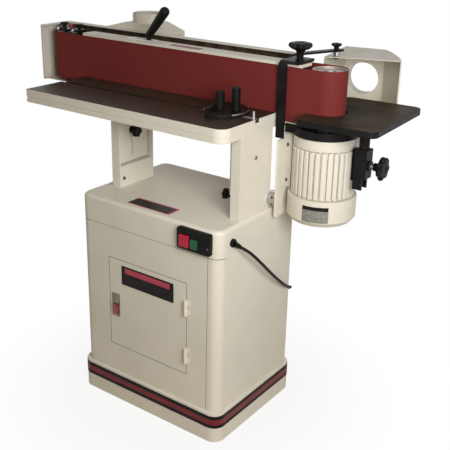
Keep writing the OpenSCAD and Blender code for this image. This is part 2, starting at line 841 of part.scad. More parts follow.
module post_holder() color("black") difference() {
    union() {
        block([post_at[0] - holder_half, post_at[1] - holder_half, holder_low],
              [post_at[0] + holder_half, post_at[1] + holder_half, holder_top]);
        rod_x([post_at[0] + holder_half, post_at[0] + holder_half + 6], post_at[1], end_knob_z, 14);
        // Pad against the motor's side
        block([drive_x + motor_r - 14, post_at[1] + 9, holder_low + 14],
              [post_at[0], post_at[1] + 32, holder_top - 10]);
    }
    block([post_at[0] + 8, post_at[1] - holder_half - 1, holder_low - 1],
          [post_at[0] + holder_half + 1, post_at[1] + holder_half + 1, holder_low + 32]);
    rod_z(post_at[0], post_at[1], [holder_low - 1, holder_top + 1], post_r + running);
    rod_x([post_at[0] + 10, post_at[0] + holder_half + 7], post_at[1], end_knob_z, stud_r + running);
    rod_z(drive_x, drive_y, [holder_low, holder_top], motor_r + gap);
}

module hood_arm() color("dimgray") {
    block([guard_right - 32, guard_back, arm_z - 36], [guard_right - 4, guard_back + 18, arm_z + 6]);
    root = [guard_right - 18, guard_back + 6];
    reach = stud_at - root;
    translate([root[0], root[1], arm_z]) rotate(atan2(reach[1], reach[0]))
        translate([0, -arm_wide / 2, 0]) cube([norm(reach) + 20, arm_wide, 6]);
    rod_z(stud_at[0], stud_at[1], [box_top + gap, arm_z], 8);
    rod_z(stud_at[0], stud_at[1], [box_top - box_wall - 6, arm_z], pin_r);
    rod_z(stud_at[0], stud_at[1], [box_top - box_wall - 6, box_top - box_wall - gap], 9);
}

// Belt, drums and tension

module osc_rail() color("gray") difference() {
    union() {
        block([rail_x[0], rail_y[0], rail_z[0]], [rail_x[1], rail_y[1], rail_z[1]]);
        block([rail_x[1] - 17, rail_y[0], rail_foot], [rail_x[1], rail_y[1], rail_z[1]]);
        block([rail_x[1] - 17, drive_y - 20, rail_foot], [drive_x, drive_y + 20, rail_foot + foot_thick]);
        rod_z(drive_x, drive_y, [rail_foot, rail_foot + foot_thick], 24);
    }
    rod_z(drive_x, drive_y, [rail_foot - 1, rail_foot + foot_thick + 1], shaft_r + running);
}

// Outline of the belt loop, taken in from its outer face
module belt_outline(inset) {
    away = [-sin(2 * lean), cos(2 * lean)];
    drive_at = [drive_x, drive_y];
    idler_at = [idler_x, idler_y];
    near = [0, -1];
    translate(drive_at) circle(drive_out - inset, $fn = 96);
    translate(idler_at) circle(idler_out - inset, $fn = 96);
    polygon([
        idler_at + near * (idler_out - inset), drive_at + near * (drive_out - inset),
        drive_at + away * (drive_out - inset), idler_at + away * (idler_out - inset)
    ]);
}

module sanding_belt() color("brown")
    translate([0, 0, belt_low]) linear_extrude(belt_width) difference() {
        belt_outline(0);
        belt_outline(belt_thick);
    }

module drive_drum() color("silver") {
    low = belt_low + 3;
    high = belt_high - 2;
    difference() {
        rod_z(drive_x, drive_y, [low, high], drive_r);
        rod_z(drive_x, drive_y, [high - 6, high + 1], drive_r - 6);
    }
    rod_z(drive_x, drive_y, [high - 7, high - 1], 16);
    rod_z(drive_x, drive_y, [motor_top - bell_ht + 6, low], shaft_r);
    rod_z(drive_x, drive_y, [rail_foot + foot_thick + gap, low], 20);
}

module idler_yoke() color("dimgray") {
    high = yoke_top + yoke_plate;
    block([yoke_x[0], yoke_y[0], yoke_low], [yoke_x[1], yoke_y[1], high]);
    block([idler_x - 28, yoke_y[0], yoke_top], [yoke_x[1], yoke_y[1], high]);
    block([idler_x - 16, yoke_y[0], yoke_low], [yoke_x[1], yoke_y[1], yoke_low + 6]);
    block([yoke_x[1], rail_y[0] + 2, rail_z[1] + gap], [yoke_x[1] + 138, rail_y[1] - 2, rail_z[1] + 16]);
    rod_z(idler_x, idler_y, [yoke_low + 6, yoke_top], axle_r);
}

module idler_drum() color("silver") difference() {
    rod_z(idler_x, idler_y, [belt_low + 4, belt_high - 5], idler_r);
    rod_z(idler_x, idler_y, [belt_low, belt_high], axle_r + running);
}

module tension_lever() color("black") {
    elbow = [lever_x + 6, platen_high + 23];
    difference() {
        union() {
            rod_y(lever_x, lever_y, lever_z, 12);
            front_plate(lever_y, [
                [lever_x - 7, lever_z], [lever_x + 7, lever_z],
                [elbow[0] + 6, elbow[1]], [elbow[0] - 6, elbow[1]]
            ]);
        }
        rod_y(lever_x, [lever_y[0] - 1, lever_y[1] + 1], lever_z, lever_pin + running);
    }
    translate([elbow[0], (lever_y[0] + lever_y[1]) / 2, elbow[1] - 6]) rotate([0, lever_lean, 0]) {
        cylinder(r1 = grip_r - 4, r2 = grip_r, h = grip_len);
        translate([0, 0, grip_len]) sphere(r = grip_r);
    }
}

module tracking_knob(x) {
    seat = yoke_top + yoke_plate;
    translate([x, yoke_y[0] + 20, seat]) {
        translate([0, 0, gap]) cylinder(r = 6, h = 5);
        translate([0, 0, 5]) star_knob(26, 12, 6);
    }
}

module tracking_knob_a() color("black") tracking_knob(idler_x - 13);

module tracking_knob_b() color("black") tracking_knob(idler_x + 56);

// Work stop

module work_stop() color("black") difference() {
    union() {
        block([stop_x[0], stop_y[0], stop_low], [stop_x[1], stop_y[1], stop_high]);
        block([stop_x[0], stop_y[0], stop_base], [stop_plate_x, stop_plate_y, stop_high]);
    }
    block([stop_knob_at[0] - 7, stop_knob_at[1] - 8, stop_base - 1],
          [stop_knob_at[0] + 7, stop_knob_at[1] + 8 + stop_travel, stop_high + 1]);
    // Outer corner rounded as a bend
    difference() {
        block([stop_x[0] - 1, stop_y[0] - 1, stop_high - stop_bend],
              [stop_plate_x + 1, stop_y[0] + stop_bend, stop_high + 1]);
        rod_x([stop_x[0] - 2, stop_plate_x + 2], stop_y[0] + stop_bend, stop_high - stop_bend, stop_bend);
    }
}

module stop_knob() color("black") translate([stop_knob_at[0], stop_knob_at[1], stop_base]) {
    cylinder(r = stud_r, h = 20);
    translate([0, 0, stop_plate + gap]) cylinder(r = 13, h = 3);
    translate([0, 0, stop_plate + 9]) cylinder(r = 10, h = 22);
    translate([0, 0, stop_plate + 28]) star_knob(66, 20, 7);
}

// Dust hood behind the end table

// Outline of the hood, taken in by a wall all round and let out at the front
module hood_outline(inset, front) {
    back = box_back - inset;
    polygon(concat(
        [for (p = box_front) [max(p[0], box_left + inset), p[1] - front]],
        [for (i = [0 : len(box_side) - 1])
            [box_side[i][0] - 1.1 * inset, min(box_side[i][1] - (i == 0 ? front : 0), back)]],
        [[box_left + inset, back]]
    ));
}

module end_hood() color("ivory") translate([stud_at[0], stud_at[1], 0]) rotate(hood_turn) difference() {
    union() {
        difference() {
            translate([0, 0, box_low]) linear_extrude(box_top - box_low) hood_outline(0, 0);
            translate([0, 0, box_low + box_wall])
                linear_extrude(box_top - box_low - 2 * box_wall) hood_outline(box_wall, 5);
        }
        rod_y(outlet_u, [box_back - box_wall, box_back + 40], outlet_z, outlet_r + box_wall);
    }
    rod_y(outlet_u, [box_back - 2 * box_wall, box_back + 41], outlet_z, outlet_r);
    rod_z(0, 0, [box_top - 2 * box_wall, box_top + 1], pin_r + running);
}

module hood_knob() color("black") translate([stud_at[0], stud_at[1], arm_z + 6]) {
    translate([0, 0, gap]) cylinder(r = 7, h = 6);
    translate([0, 0, 6]) star_knob(32, 12, 5);
}

// End table on its post

module end_outline() {
    mid = [end_left + end_len / 2, end_front + end_dep / 2];
    translate(post_at) rotate(end_turn) translate(mid - post_at) round_box(end_len, end_dep, end_round);
}

module end_table() color("saddlebrown") difference() {
    translate([0, 0, end_top - end_thick]) linear_extrude(end_thick) end_outline();
    rod_z(drive_x, drive_y, [end_top - end_thick - 1, end_top + 1], end_notch);
    block([end_left - end_round, drive_y - end_notch, end_top - end_thick - 1],
          [drive_x, drive_y + end_notch, end_top + 1]);
}

module end_post() color("black") {
    under = end_top - end_thick;
    rod_z(post_at[0], post_at[1], [holder_low + 34, under], post_r);
    rod_z(post_at[0], post_at[1], [under - 8, under], post_r + 11);
}

module end_knob() color("black")
    translate([post_at[0] + holder_half + 6, post_at[1], end_knob_z]) rotate([0, 90, 0]) {
        translate([0, 0, post_r + gap - holder_half - 6])
            cylinder(r = stud_r, h = holder_half + 18 - post_r - gap);
        translate([0, 0, 9]) cylinder(r = 11, h = 16);
        translate([0, 0, 22]) star_knob(66, 20, 7);
    }

// Cord

function unit(v) = v / norm(v);

// Point at t between points b and c of a smooth curve that passes through a, b, c and d
function curve_point(a, b, c, d, t) =
    0.5 * ((2 * b) + (c - a) * t + (2 * a - 5 * b + 4 * c - d) * t * t
    + (3 * b - a - 3 * c + d) * t * t * t);

function smooth(p, split) = concat(
    [for (i = [0 : len(p) - 2], k = [0 : split - 1])
        curve_point(p[max(i - 1, 0)], p[i], p[i + 1], p[min(i + 2, len(p) - 1)], k / split)],
    [p[len(p) - 1]]
);

function heading(p, i) =
    i == 0 ? unit(p[1] - p[0])
    : i == len(p) - 1 ? unit(p[i] - p[i - 1])
    : unit(p[i + 1] - p[i - 1]);

function square_off(n, t) = unit(n - (n * t) * t);

// Side directions carried along the path without twist
function sides_along(p, start) = [
    for (i = 0, n = square_off(start, heading(p, 0));
         i < len(p);
         i = i + 1, n = i < len(p) ? square_off(n, heading(p, i)) : n) n
];

function ring_points(p, start, r, sides) =
    let (n = sides_along(p, start))
    [for (i = [0 : len(p) - 1], j = [0 : sides - 1])
        let (a = (j + 0.5) * 360 / sides)
        p[i] + r * (cos(a) * n[i] + sin(a) * cross(heading(p, i), n[i]))];

function tube_faces(rings, sides) = concat(
    [for (j = [1 : sides - 2]) [0, j + 1, j]],
    [for (i = [0 : rings - 2], j = [0 : sides - 1])
        [i * sides + j, i * sides + (j + 1) % sides, (i + 1) * sides + j]],
    [for (i = [0 : rings - 2], j = [0 : sides - 1])
        [i * sides + (j + 1) % sides, (i + 1) * sides + (j + 1) % sides, (i + 1) * sides + j]],
    [for (j = [1 : sides - 2]) let (last = (rings - 1) * sides) [last, last + j, last + j + 1]]
);

module tube(p, start, r, sides) {
    polyhedron(ring_points(p, start, r, sides), tube_faces(len(p), sides));
}

module cord_grommet() color("black") {
    out = heading(smooth(route, route_split), 0);
    tip = route[0];
    root = [cab_side, grommet_at[0], grommet_at[1]];
    rod_x([cab_side, cab_side + 6], root[1], root[2], 12);
    length = norm(tip - root);
    translate(tip - length * out) rotate([0, acos(out[2]), atan2(out[1], out[0])])
        translate([0, 0, 8]) cylinder(r1 = 8.5, r2 = relief_tip, h = length - 8);
}

module cord_clip() color("black") difference() {
    at = route[clip_point];
    block([at[0] - clip_half, cab_back, clip_z - 8], [at[0] + clip_half, cab_back + 16, clip_z + 8]);
    rod_z(at[0], at[1], [clip_z - 9, clip_z + 9], cord_r + gap);
}

module power_cord() color("black") tube(smooth(route, route_split), [0, 0, 1], cord_r, cord_sides);

// Angle along the coil at ring i, and the radius and layer there
coil_sweep = 360 * (2 * coil_turns + 0.5);
coil_half = coil_sweep / 2;

function coil_radius(a) = coil_r - coil_step * (coil_half - abs(a - coil_half)) / 360;

function ease(t) = t * t * (3 - 2 * t);

function coil_height(a) =
    route[len(route) - 1][2] + coil_step * ease(min(1, max(0, (a - coil_half + 90) / 180)));

function coil_points() =
    let (rings = round(coil_sweep / 360 * loop_rings))
    let (turn = [for (i = [0 : rings])
        let (a = i * coil_sweep / rings)
        [coil_at[0] + coil_radius(a) * cos(a), coil_at[1] + coil_radius(a) * sin(a), coil_height(a)]])
    concat([turn[0] - [0, cord_dia, 0]], turn, [turn[rings] - [0, coil_tail, 0]]);

// Least gap between points of the coil that are more than a quarter turn apart
function coil_gap() =
    let (p = coil_points())
    min([for (i = [0 : len(p) - 2], j = [i + loop_rings / 4 : len(p) - 1]) norm(p[i] - p[j])]) - cord_dia;

echo(least_coil_gap = coil_gap());

module cord_coil() color("black") tube(coil_points(), [0, 0, 1], cord_r, coil_sides);

module power_plug() color("black") {
    coil = coil_points();
    at = coil[len(coil) - 1];
    block([at[0] - plug_half, at[1] - plug_len, at[2] - plug_half],
          [at[0] + plug_half, at[1], at[2] + plug_half]);
    for (side = [-1, 1])
        translate([at[0] + side * 6.5, at[1] - plug_len, at[2]])
            block([-1, -18, -3.2], [1, 0, 3.2]);
}

base_plinth();
stripe_black();
stripe_red();
cabinet_shell();
front_panel();
cabinet_top();
door_panel();
latch_frame();
latch_paddle();
switch_housing();
stop_button();
start_button();
left_column();
right_column();
left_pivot();
right_pivot();
main_table();
left_bracket();
right_bracket();
left_lock_knob();
right_lock_knob();
tilt_knob();
miter_bar();
miter_head();
miter_handle();
platen();
belt_guard();
left_hood();
left_arm();
motor_plate();
motor_bracket();
motor_bell();
motor_body();
motor_cap();
terminal_box();
post_holder();
hood_arm();
osc_rail();
sanding_belt();
drive_drum();
idler_yoke();
idler_drum();
tension_lever();
tracking_knob_a();
tracking_knob_b();
work_stop();
stop_knob();
end_hood();
hood_knob();
end_table();
end_post();
end_knob();
cord_grommet();
cord_clip();
power_cord();
cord_coil();
power_plug();
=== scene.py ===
# %% [markdown]
# An oscillating edge sander: a wide abrasive belt runs on edge between two drums, behind a table, on top
# of a sheet-metal cabinet. This lesson dresses the exact solids of the machine with finishes and small
# parts. Lengths are in metres unless a cell says otherwise, in the solids' own frame: X along the belt, +Y
# to the back, +Z up.

# %% Load the solids
import json
import math
import bmesh
import bpy
from mathutils import Matrix, Vector


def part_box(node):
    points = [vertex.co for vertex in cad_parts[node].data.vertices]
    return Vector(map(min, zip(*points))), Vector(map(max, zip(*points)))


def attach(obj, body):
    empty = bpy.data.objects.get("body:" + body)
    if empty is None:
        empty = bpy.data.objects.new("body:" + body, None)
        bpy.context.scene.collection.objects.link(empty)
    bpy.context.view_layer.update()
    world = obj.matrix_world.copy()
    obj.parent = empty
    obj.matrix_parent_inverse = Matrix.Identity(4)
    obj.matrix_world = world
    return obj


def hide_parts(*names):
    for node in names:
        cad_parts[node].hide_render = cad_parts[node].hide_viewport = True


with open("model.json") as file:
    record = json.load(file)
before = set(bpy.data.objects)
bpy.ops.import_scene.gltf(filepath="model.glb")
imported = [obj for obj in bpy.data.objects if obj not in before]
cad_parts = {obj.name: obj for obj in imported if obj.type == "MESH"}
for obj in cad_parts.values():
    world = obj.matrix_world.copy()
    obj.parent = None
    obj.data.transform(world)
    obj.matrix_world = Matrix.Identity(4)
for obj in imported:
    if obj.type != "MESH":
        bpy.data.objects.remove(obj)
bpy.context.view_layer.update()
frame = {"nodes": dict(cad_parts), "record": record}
MM = 0.001
scene = bpy.context.scene
scene.view_settings.view_transform = "Standard"

# %% [markdown]
# The camera stands to the front right, half a metre above the tables, with a long lens. Its place, tilt and
# lens were fitted to straight edges of the machine. The lens shift is only what the framing needs.

# %% Camera
camera_place = (1.4032, -1.7746, 1.4778)
camera_azimuth, camera_elevation, camera_roll = 36.2, 20.7, 1.08
lens_length, lens_shift = 64.26, (0.0194, -0.0434)


def aim_matrix(azimuth, elevation, roll):
    """The camera's turn, from its bearing, its height angle and its roll in degrees."""
    az, el, ro = (math.radians(a) for a in (azimuth, elevation, roll))
    back = Vector((math.sin(az) * math.cos(el), -math.cos(az) * math.cos(el), math.sin(el)))
    right = Vector((math.cos(az), math.sin(az), 0.0))
    up = back.cross(right)
    turned_right = math.cos(ro) * right + math.sin(ro) * up
    turned_up = -math.sin(ro) * right + math.cos(ro) * up
    return Matrix((turned_right, turned_up, back)).transposed().to_4x4()


lens_data = bpy.data.cameras.new("photo_camera")
lens_data.sensor_width = 36.0
lens_data.lens = lens_length
lens_data.shift_x, lens_data.shift_y = lens_shift
lens_data.clip_end = 50.0
photo_camera = bpy.data.objects.new("photo_camera", lens_data)
scene.collection.objects.link(photo_camera)
camera_turn = aim_matrix(camera_azimuth, camera_elevation, camera_roll)
photo_camera.matrix_world = Matrix.Translation(camera_place) @ camera_turn
scene.camera = photo_camera
print("camera at", tuple(round(c, 3) for c in photo_camera.location))

# %% [markdown]
# Finishes come next. Each one is a Principled shader with colour drift, uneven gloss, a fine bump or all
# three, from noise on Object coordinates, so a pattern stays on its piece when the piece moves and needs no
# image. The helpers below each add one of those three things.

# %% Finish helpers
def new_finish(name, colour, rough, metal=0.0, specular=0.5):
    mat = bpy.data.materials.new(name)
    mat.use_nodes = True
    shader = mat.node_tree.nodes["Principled BSDF"]
    shader.inputs["Base Color"].default_value = (*colour, 1.0)
    shader.inputs["Roughness"].default_value = rough
    shader.inputs["Metallic"].default_value = metal
    shader.inputs["Specular IOR Level"].default_value = specular
    return mat


def noise_on(mat, scale, detail=3.0, stretch=(1.0, 1.0, 1.0)):
    nodes, links = mat.node_tree.nodes, mat.node_tree.links
    where = nodes.new("ShaderNodeTexCoord")
    place = nodes.new("ShaderNodeMapping")
    place.inputs["Scale"].default_value = stretch
    noise = nodes.new("ShaderNodeTexNoise")
    noise.inputs["Scale"].default_value = scale
    noise.inputs["Detail"].default_value = detail
    links.new(where.outputs["Object"], place.inputs["Vector"])
    links.new(place.outputs["Vector"], noise.inputs["Vector"])
    return noise


def add_drift(mat, dark, light, scale, low=0.35, high=0.65, **kw):
    nodes, links = mat.node_tree.nodes, mat.node_tree.links
    ramp = nodes.new("ShaderNodeValToRGB")
    ramp.color_ramp.elements[0].position = low
    ramp.color_ramp.elements[1].position = high
    ramp.color_ramp.elements[0].color = (*dark, 1.0)
    ramp.color_ramp.elements[1].color = (*light, 1.0)
    links.new(noise_on(mat, scale, **kw).outputs["Fac"], ramp.inputs["Fac"])
    links.new(ramp.outputs["Color"], nodes["Principled BSDF"].inputs["Base Color"])


def add_gloss(mat, low, high, scale, **kw):
    nodes, links = mat.node_tree.nodes, mat.node_tree.links
    spread = nodes.new("ShaderNodeMapRange")
    spread.inputs["From Min"].default_value = 0.3
    spread.inputs["From Max"].default_value = 0.7
    spread.inputs["To Min"].default_value = low
    spread.inputs["To Max"].default_value = high
    links.new(noise_on(mat, scale, **kw).outputs["Fac"], spread.inputs["Value"])
    links.new(spread.outputs["Result"], nodes["Principled BSDF"].inputs["Roughness"])


def add_bump(mat, scale, strength, depth, **kw):
    nodes, links = mat.node_tree.nodes, mat.node_tree.links
    bump = nodes.new("ShaderNodeBump")
    bump.inputs["Strength"].default_value = strength
    bump.inputs["Distance"].default_value = depth
    links.new(noise_on(mat, scale, **kw).outputs["Fac"], bump.inputs["Height"])
    links.new(bump.outputs["Normal"], nodes["Principled BSDF"].inputs["Normal"])


# %% [markdown]
# The cabinet, guards and motor are sprayed in one ivory satin paint. Sprayed paint has a faint orange
# peel, and its gloss wanders a little from place to place. The dark brown inside the belt guard, painted
# shade together with sanding dust, and the painted shade of the seams are dark and matt, so they are
# finishes of their own.

# %% Paints
ivory_paint = new_finish("ivory_paint", (0.645, 0.61, 0.52), 0.4, specular=0.3)
add_drift(ivory_paint, (0.625, 0.59, 0.50), (0.665, 0.63, 0.54), 5.0)
add_gloss(ivory_paint, 0.34, 0.46, 16.0)
add_bump(ivory_paint, 420.0, 0.05, 0.0005, detail=2.0)

# Painted shade with sanding dust: a dark brown for the inside of the belt guard, where the lip shades it.
dust_and_shade_paint = new_finish("dust_and_shade_paint", (0.07, 0.048, 0.03), 0.85, specular=0.1)
add_drift(dust_and_shade_paint, (0.05, 0.034, 0.021), (0.10, 0.07, 0.045), 30.0, detail=6.0)
add_bump(dust_and_shade_paint, 600.0, 0.2, 0.0006)

# Painted shade: a dark brown for the cut edges of the sheets, so the gaps round them read as shaded lines.
painted_seam_shade = new_finish("painted_seam_shade", (0.10, 0.082, 0.055), 0.8, specular=0.1)
add_drift(painted_seam_shade, (0.08, 0.065, 0.042), (0.13, 0.105, 0.072), 40.0)
add_bump(painted_seam_shade, 600.0, 0.1, 0.0005)

red_stripe_paint = new_finish("red_stripe_paint", (0.15, 0.014, 0.016), 0.42, specular=0.2)
add_drift(red_stripe_paint, (0.13, 0.012, 0.014), (0.17, 0.016, 0.018), 14.0)
add_bump(red_stripe_paint, 420.0, 0.05, 0.0005)

black_stripe_paint = new_finish("black_stripe_paint", (0.008, 0.007, 0.006), 0.45, specular=0.08)
add_drift(black_stripe_paint, (0.006, 0.005, 0.005), (0.011, 0.010, 0.009), 14.0)
add_bump(black_stripe_paint, 420.0, 0.05, 0.0005)

black_enamel = new_finish("black_enamel", (0.007, 0.007, 0.006), 0.4, specular=0.1)
add_drift(black_enamel, (0.005, 0.005, 0.0045), (0.010, 0.009, 0.008), 30.0)
add_gloss(black_enamel, 0.34, 0.48, 60.0)
add_bump(black_enamel, 700.0, 0.1, 0.0005)

grey_steel_paint = new_finish("grey_steel_paint", (0.07, 0.068, 0.064), 0.45, specular=0.3)
add_drift(grey_steel_paint, (0.055, 0.053, 0.05), (0.09, 0.087, 0.082), 25.0)
add_bump(grey_steel_paint, 500.0, 0.1, 0.0005)
print("paints ready")

# %% [markdown]
# The two table tops are ground cast iron. Grinding leaves long fine marks in one direction, here along
# the belt, and the oiled iron is dark brown with a soft mirror. The marks are noise stretched along X. The
# end table's iron is duller, and its lighter brown patches are a painted reflection.

# %% Bare metals
ground_iron = new_finish("ground_iron", (0.027, 0.018, 0.0115), 0.36, specular=0.11)
add_drift(ground_iron, (0.023, 0.0155, 0.010), (0.033, 0.022, 0.0145), 5.0, detail=5.0)
add_gloss(ground_iron, 0.34, 0.40, 9.0, detail=4.0)
add_bump(ground_iron, 2400.0, 0.02, 0.0002, stretch=(0.02, 1.0, 1.0))

# Painted reflection: the lighter brown patches of this drift stand for a reflection on the end table's top.
iron_with_painted_reflection = new_finish("iron_with_painted_reflection", (0.026, 0.019, 0.010), 0.5, specular=0.06)
add_drift(iron_with_painted_reflection, (0.013, 0.011, 0.006), (0.044, 0.029, 0.016), 9.0, detail=4.0)
add_gloss(iron_with_painted_reflection, 0.46, 0.56, 12.0)
add_bump(iron_with_painted_reflection, 2400.0, 0.02, 0.0002, stretch=(0.02, 1.0, 1.0))

brushed_steel = new_finish("brushed_steel", (0.50, 0.485, 0.47), 0.42, 1.0)
add_drift(brushed_steel, (0.46, 0.445, 0.43), (0.54, 0.525, 0.51), 40.0)
add_gloss(brushed_steel, 0.36, 0.48, 90.0)
add_bump(brushed_steel, 1200.0, 0.03, 0.0002)

drum_alloy = new_finish("drum_alloy", (0.36, 0.31, 0.285), 0.55, 0.85)
add_drift(drum_alloy, (0.33, 0.28, 0.255), (0.39, 0.34, 0.315), 20.0)
add_gloss(drum_alloy, 0.5, 0.6, 80.0)
add_bump(drum_alloy, 1200.0, 0.02, 0.0002)

plated_steel = new_finish("plated_steel", (0.72, 0.72, 0.73), 0.16, 1.0)
add_gloss(plated_steel, 0.12, 0.24, 50.0)

dull_nickel = new_finish("dull_nickel", (0.17, 0.145, 0.11), 0.4, 0.9)
add_drift(dull_nickel, (0.14, 0.12, 0.09), (0.20, 0.175, 0.135), 45.0)
add_gloss(dull_nickel, 0.34, 0.48, 70.0)
print("metals ready")

# %% [markdown]
# The belt is cloth coated with reddish brown grit. Each grain is under half a millimetre, so the grit
# is a strong fine bump with specks of a lighter tone. It has almost no gloss. The buttons, the grips and
# the cord are smoother, with the faint grain of a mould.

# %% Abrasive, plastics and rubber
belt_grit = new_finish("belt_grit", (0.148, 0.022, 0.0195), 0.7, specular=0.11)
add_drift(belt_grit, (0.115, 0.016, 0.014), (0.185, 0.030, 0.027), 900.0, detail=4.0)
add_bump(belt_grit, 1500.0, 0.3, 0.0005, detail=4.0)

black_moulding = new_finish("black_moulding", (0.005, 0.005, 0.0045), 0.42, specular=0.09)
add_drift(black_moulding, (0.004, 0.004, 0.0035), (0.007, 0.007, 0.006), 40.0)
add_bump(black_moulding, 900.0, 0.1, 0.0004)

red_moulding = new_finish("red_moulding", (0.36, 0.010, 0.028), 0.34, specular=0.3)
add_drift(red_moulding, (0.33, 0.008, 0.024), (0.39, 0.012, 0.033), 60.0)
add_bump(red_moulding, 800.0, 0.05, 0.0003)

latch_red = new_finish("latch_red", (0.24, 0.035, 0.03), 0.35)
add_drift(latch_red, (0.20, 0.028, 0.025), (0.28, 0.042, 0.036), 50.0)
add_bump(latch_red, 800.0, 0.05, 0.0003)

green_moulding = new_finish("green_moulding", (0.006, 0.075, 0.030), 0.34, specular=0.3)
add_drift(green_moulding, (0.005, 0.065, 0.026), (0.008, 0.085, 0.035), 60.0)
add_bump(green_moulding, 800.0, 0.05, 0.0003)

cord_rubber = new_finish("cord_rubber", (0.007, 0.0065, 0.006), 0.55, specular=0.1)
add_drift(cord_rubber, (0.0055, 0.005, 0.0045), (0.009, 0.0085, 0.0075), 80.0)
add_bump(cord_rubber, 1400.0, 0.15, 0.0003)

plate_black = new_finish("plate_black", (0.009, 0.008, 0.007), 0.4, specular=0.1)
add_drift(plate_black, (0.007, 0.006, 0.005), (0.012, 0.011, 0.010), 50.0)
add_bump(plate_black, 700.0, 0.04, 0.0003)
print("finishes:", len(bpy.data.materials))

# %% [markdown]
# The mains lead leaves a strain relief on the cabinet's right side, droops to the back, passes a clip and
# ends in a small coil with its plug behind the cabinet. It is one curve through given points, which are
# also the solid's. The coil winds inwards on the floor, steps up by one layer and winds out again on top.

# %% Route of the power cord
shell_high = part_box("cabinet_shell")[1]
cabinet_corner = Vector((shell_high[0], shell_high[1], 0.0))
cord_route = [cabinet_corner + Vector(p) * MM for p in (
    (18, -319, 602), (25, -311, 595), (31, -289, 577), (33, -261, 552), (32, -214, 509),
    (28, -159, 460), (21, -99, 412), (11, -54, 381), (6, -30, 367), (4, -18, 361),
    (-2, -7, 354), (-12, 1, 346), (-24, 6, 337), (-44, 8, 320), (-68, 9, 296),
    (-86, 9, 266), (-95, 8, 232), (-98, 8, 206), (-99, 8, 180), (-99, 8, 150), (-99, 8, 120),
    (-101, 10, 92), (-105, 17, 62), (-111, 32, 36), (-119, 54, 15), (-130, 80, 6),
    (-137, 100, 5), (-139, 112, 5), (-139, 122, 5))]
cord_diameter = 0.009
coil_turns, coil_step, coil_radius, points_per_turn = 2, 0.0098, 0.062, 24
coil_lead_in, plug_lead = 0.009, 0.054
coil_middle = cord_route[-1] + Vector((-coil_radius, coil_lead_in, 0.0))


def coil_line():
    full_turn = 2.0 * math.pi
    sweep = full_turn * (2 * coil_turns + 0.5)
    count = round(sweep / full_turn * points_per_turn)
    points = []
    for i in range(count + 1):
        a = i * sweep / count
        r = coil_radius - coil_step * (sweep / 2 - abs(a - sweep / 2)) / full_turn
        t = min(1.0, max(0.0, (a - sweep / 2 + math.pi / 2) / math.pi))
        z = coil_step * t * t * (3.0 - 2.0 * t)
        points.append(coil_middle + Vector((r * math.cos(a), r * math.sin(a), z)))
    return points


coil = coil_line()
to_plug = [coil[-1] - Vector((0.0, plug_lead * part, 0.0)) for part in (0.5, 1.0)]
cord_points = cord_route + coil + to_plug
print("cord points:", len(cord_points))

# %% [markdown]
# A Bezier curve with a round bevel is a cord at once, with no mesh to sweep. Each handle lies along the
# line between a point's neighbours and reaches a third of the way to the nearer one, so the line is smooth
# and doesn't overshoot.

# %% Power cord
cord_curve = bpy.data.curves.new("mains_lead", "CURVE")
cord_curve.dimensions = "3D"
cord_curve.bevel_depth = cord_diameter / 2
cord_curve.bevel_resolution = 4
cord_curve.resolution_u = 6
cord_curve.use_fill_caps = True
spline = cord_curve.splines.new("BEZIER")
last_point = len(cord_points) - 1
spline.bezier_points.add(last_point)
for i, (knot, point) in enumerate(zip(spline.bezier_points, cord_points)):
    before, after = cord_points[max(i - 1, 0)], cord_points[min(i + 1, last_point)]
    reach = min((point - other).length for other in (before, after) if other is not point)
    lean = (after - before).normalized() * reach / 3
    knot.co = point
    knot.handle_left_type = knot.handle_right_type = "FREE"
    knot.handle_left, knot.handle_right = point - lean, point + lean
mains_lead = bpy.data.objects.new("mains_lead", cord_curve)
scene.collection.objects.link(mains_lead)
cord_curve.materials.append(cord_rubber)
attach(mains_lead, "base")
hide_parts("power_cord", "cord_coil")

# %% [markdown]
# Real sheet metal, castings and mouldings have no knife edges: every edge is broken by a bend, a file or
# the mould, and that narrow band is what catches the light. So each solid is copied, its loose triangles
# are merged, flat areas are joined up, and a narrow bevel eases the sharp edges. Normals weighted by area
# keep the flat faces flat up to their eased edges. The copy stands for the solid and rides on its body.

# %% Edge helpers
SMOOTH_BELOW, EASE_ABOVE, FLAT_WITHIN = 32.0, 28.0, 0.5
EASE_SEGMENTS, MERGE_WITHIN = 2, 2e-6
record = frame["record"]
body_of_node = {node: body for body, nodes in record["behaviour"]["bodies"].items() for node in nodes}


def smooth_by_angle(mesh, degrees=SMOOTH_BELOW):
    mesh.polygons.foreach_set("use_smooth", [True] * len(mesh.polygons))
    mesh.set_sharp_from_angle(angle=math.radians(degrees))


def bake_modifiers(obj):
    """Turn what the modifiers show into the object's own plain mesh."""
    bpy.context.view_layer.update()
    shown = obj.evaluated_get(bpy.context.evaluated_depsgraph_get())
    baked = bpy.data.meshes.new_from_object(shown)
    obj.modifiers.clear()
    obj.data = baked


def eased(node, finish, width):
    mesh = frame["nodes"][node].data.copy()
    piece = bpy.data.objects.new(node + "_eased", mesh)
    scene.collection.objects.link(piece)
    work = bmesh.new()
    work.from_mesh(mesh)
    bmesh.ops.remove_doubles(work, verts=work.verts, dist=MERGE_WITHIN)
    bmesh.ops.dissolve_limit(work, angle_limit=math.radians(FLAT_WITHIN),
                             verts=work.verts, edges=work.edges)
    work.to_mesh(mesh)
    work.free()
    mesh.materials.clear()
    mesh.materials.append(finish)
    if width:
        bevel = piece.modifiers.new("ease", "BEVEL")
        bevel.width, bevel.segments = width, EASE_SEGMENTS
        bevel.limit_method = "ANGLE"
        bevel.angle_limit = math.radians(EASE_ABOVE)
        bevel.use_clamp_overlap = True
        bake_modifiers(piece)
    smooth_by_angle(piece.data)
    weigh = piece.modifiers.new("weigh", "WEIGHTED_NORMAL")
    weigh.keep_sharp = True
    bake_modifiers(piece)
    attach(piece, body_of_node[node])
    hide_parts(node)
    return piece
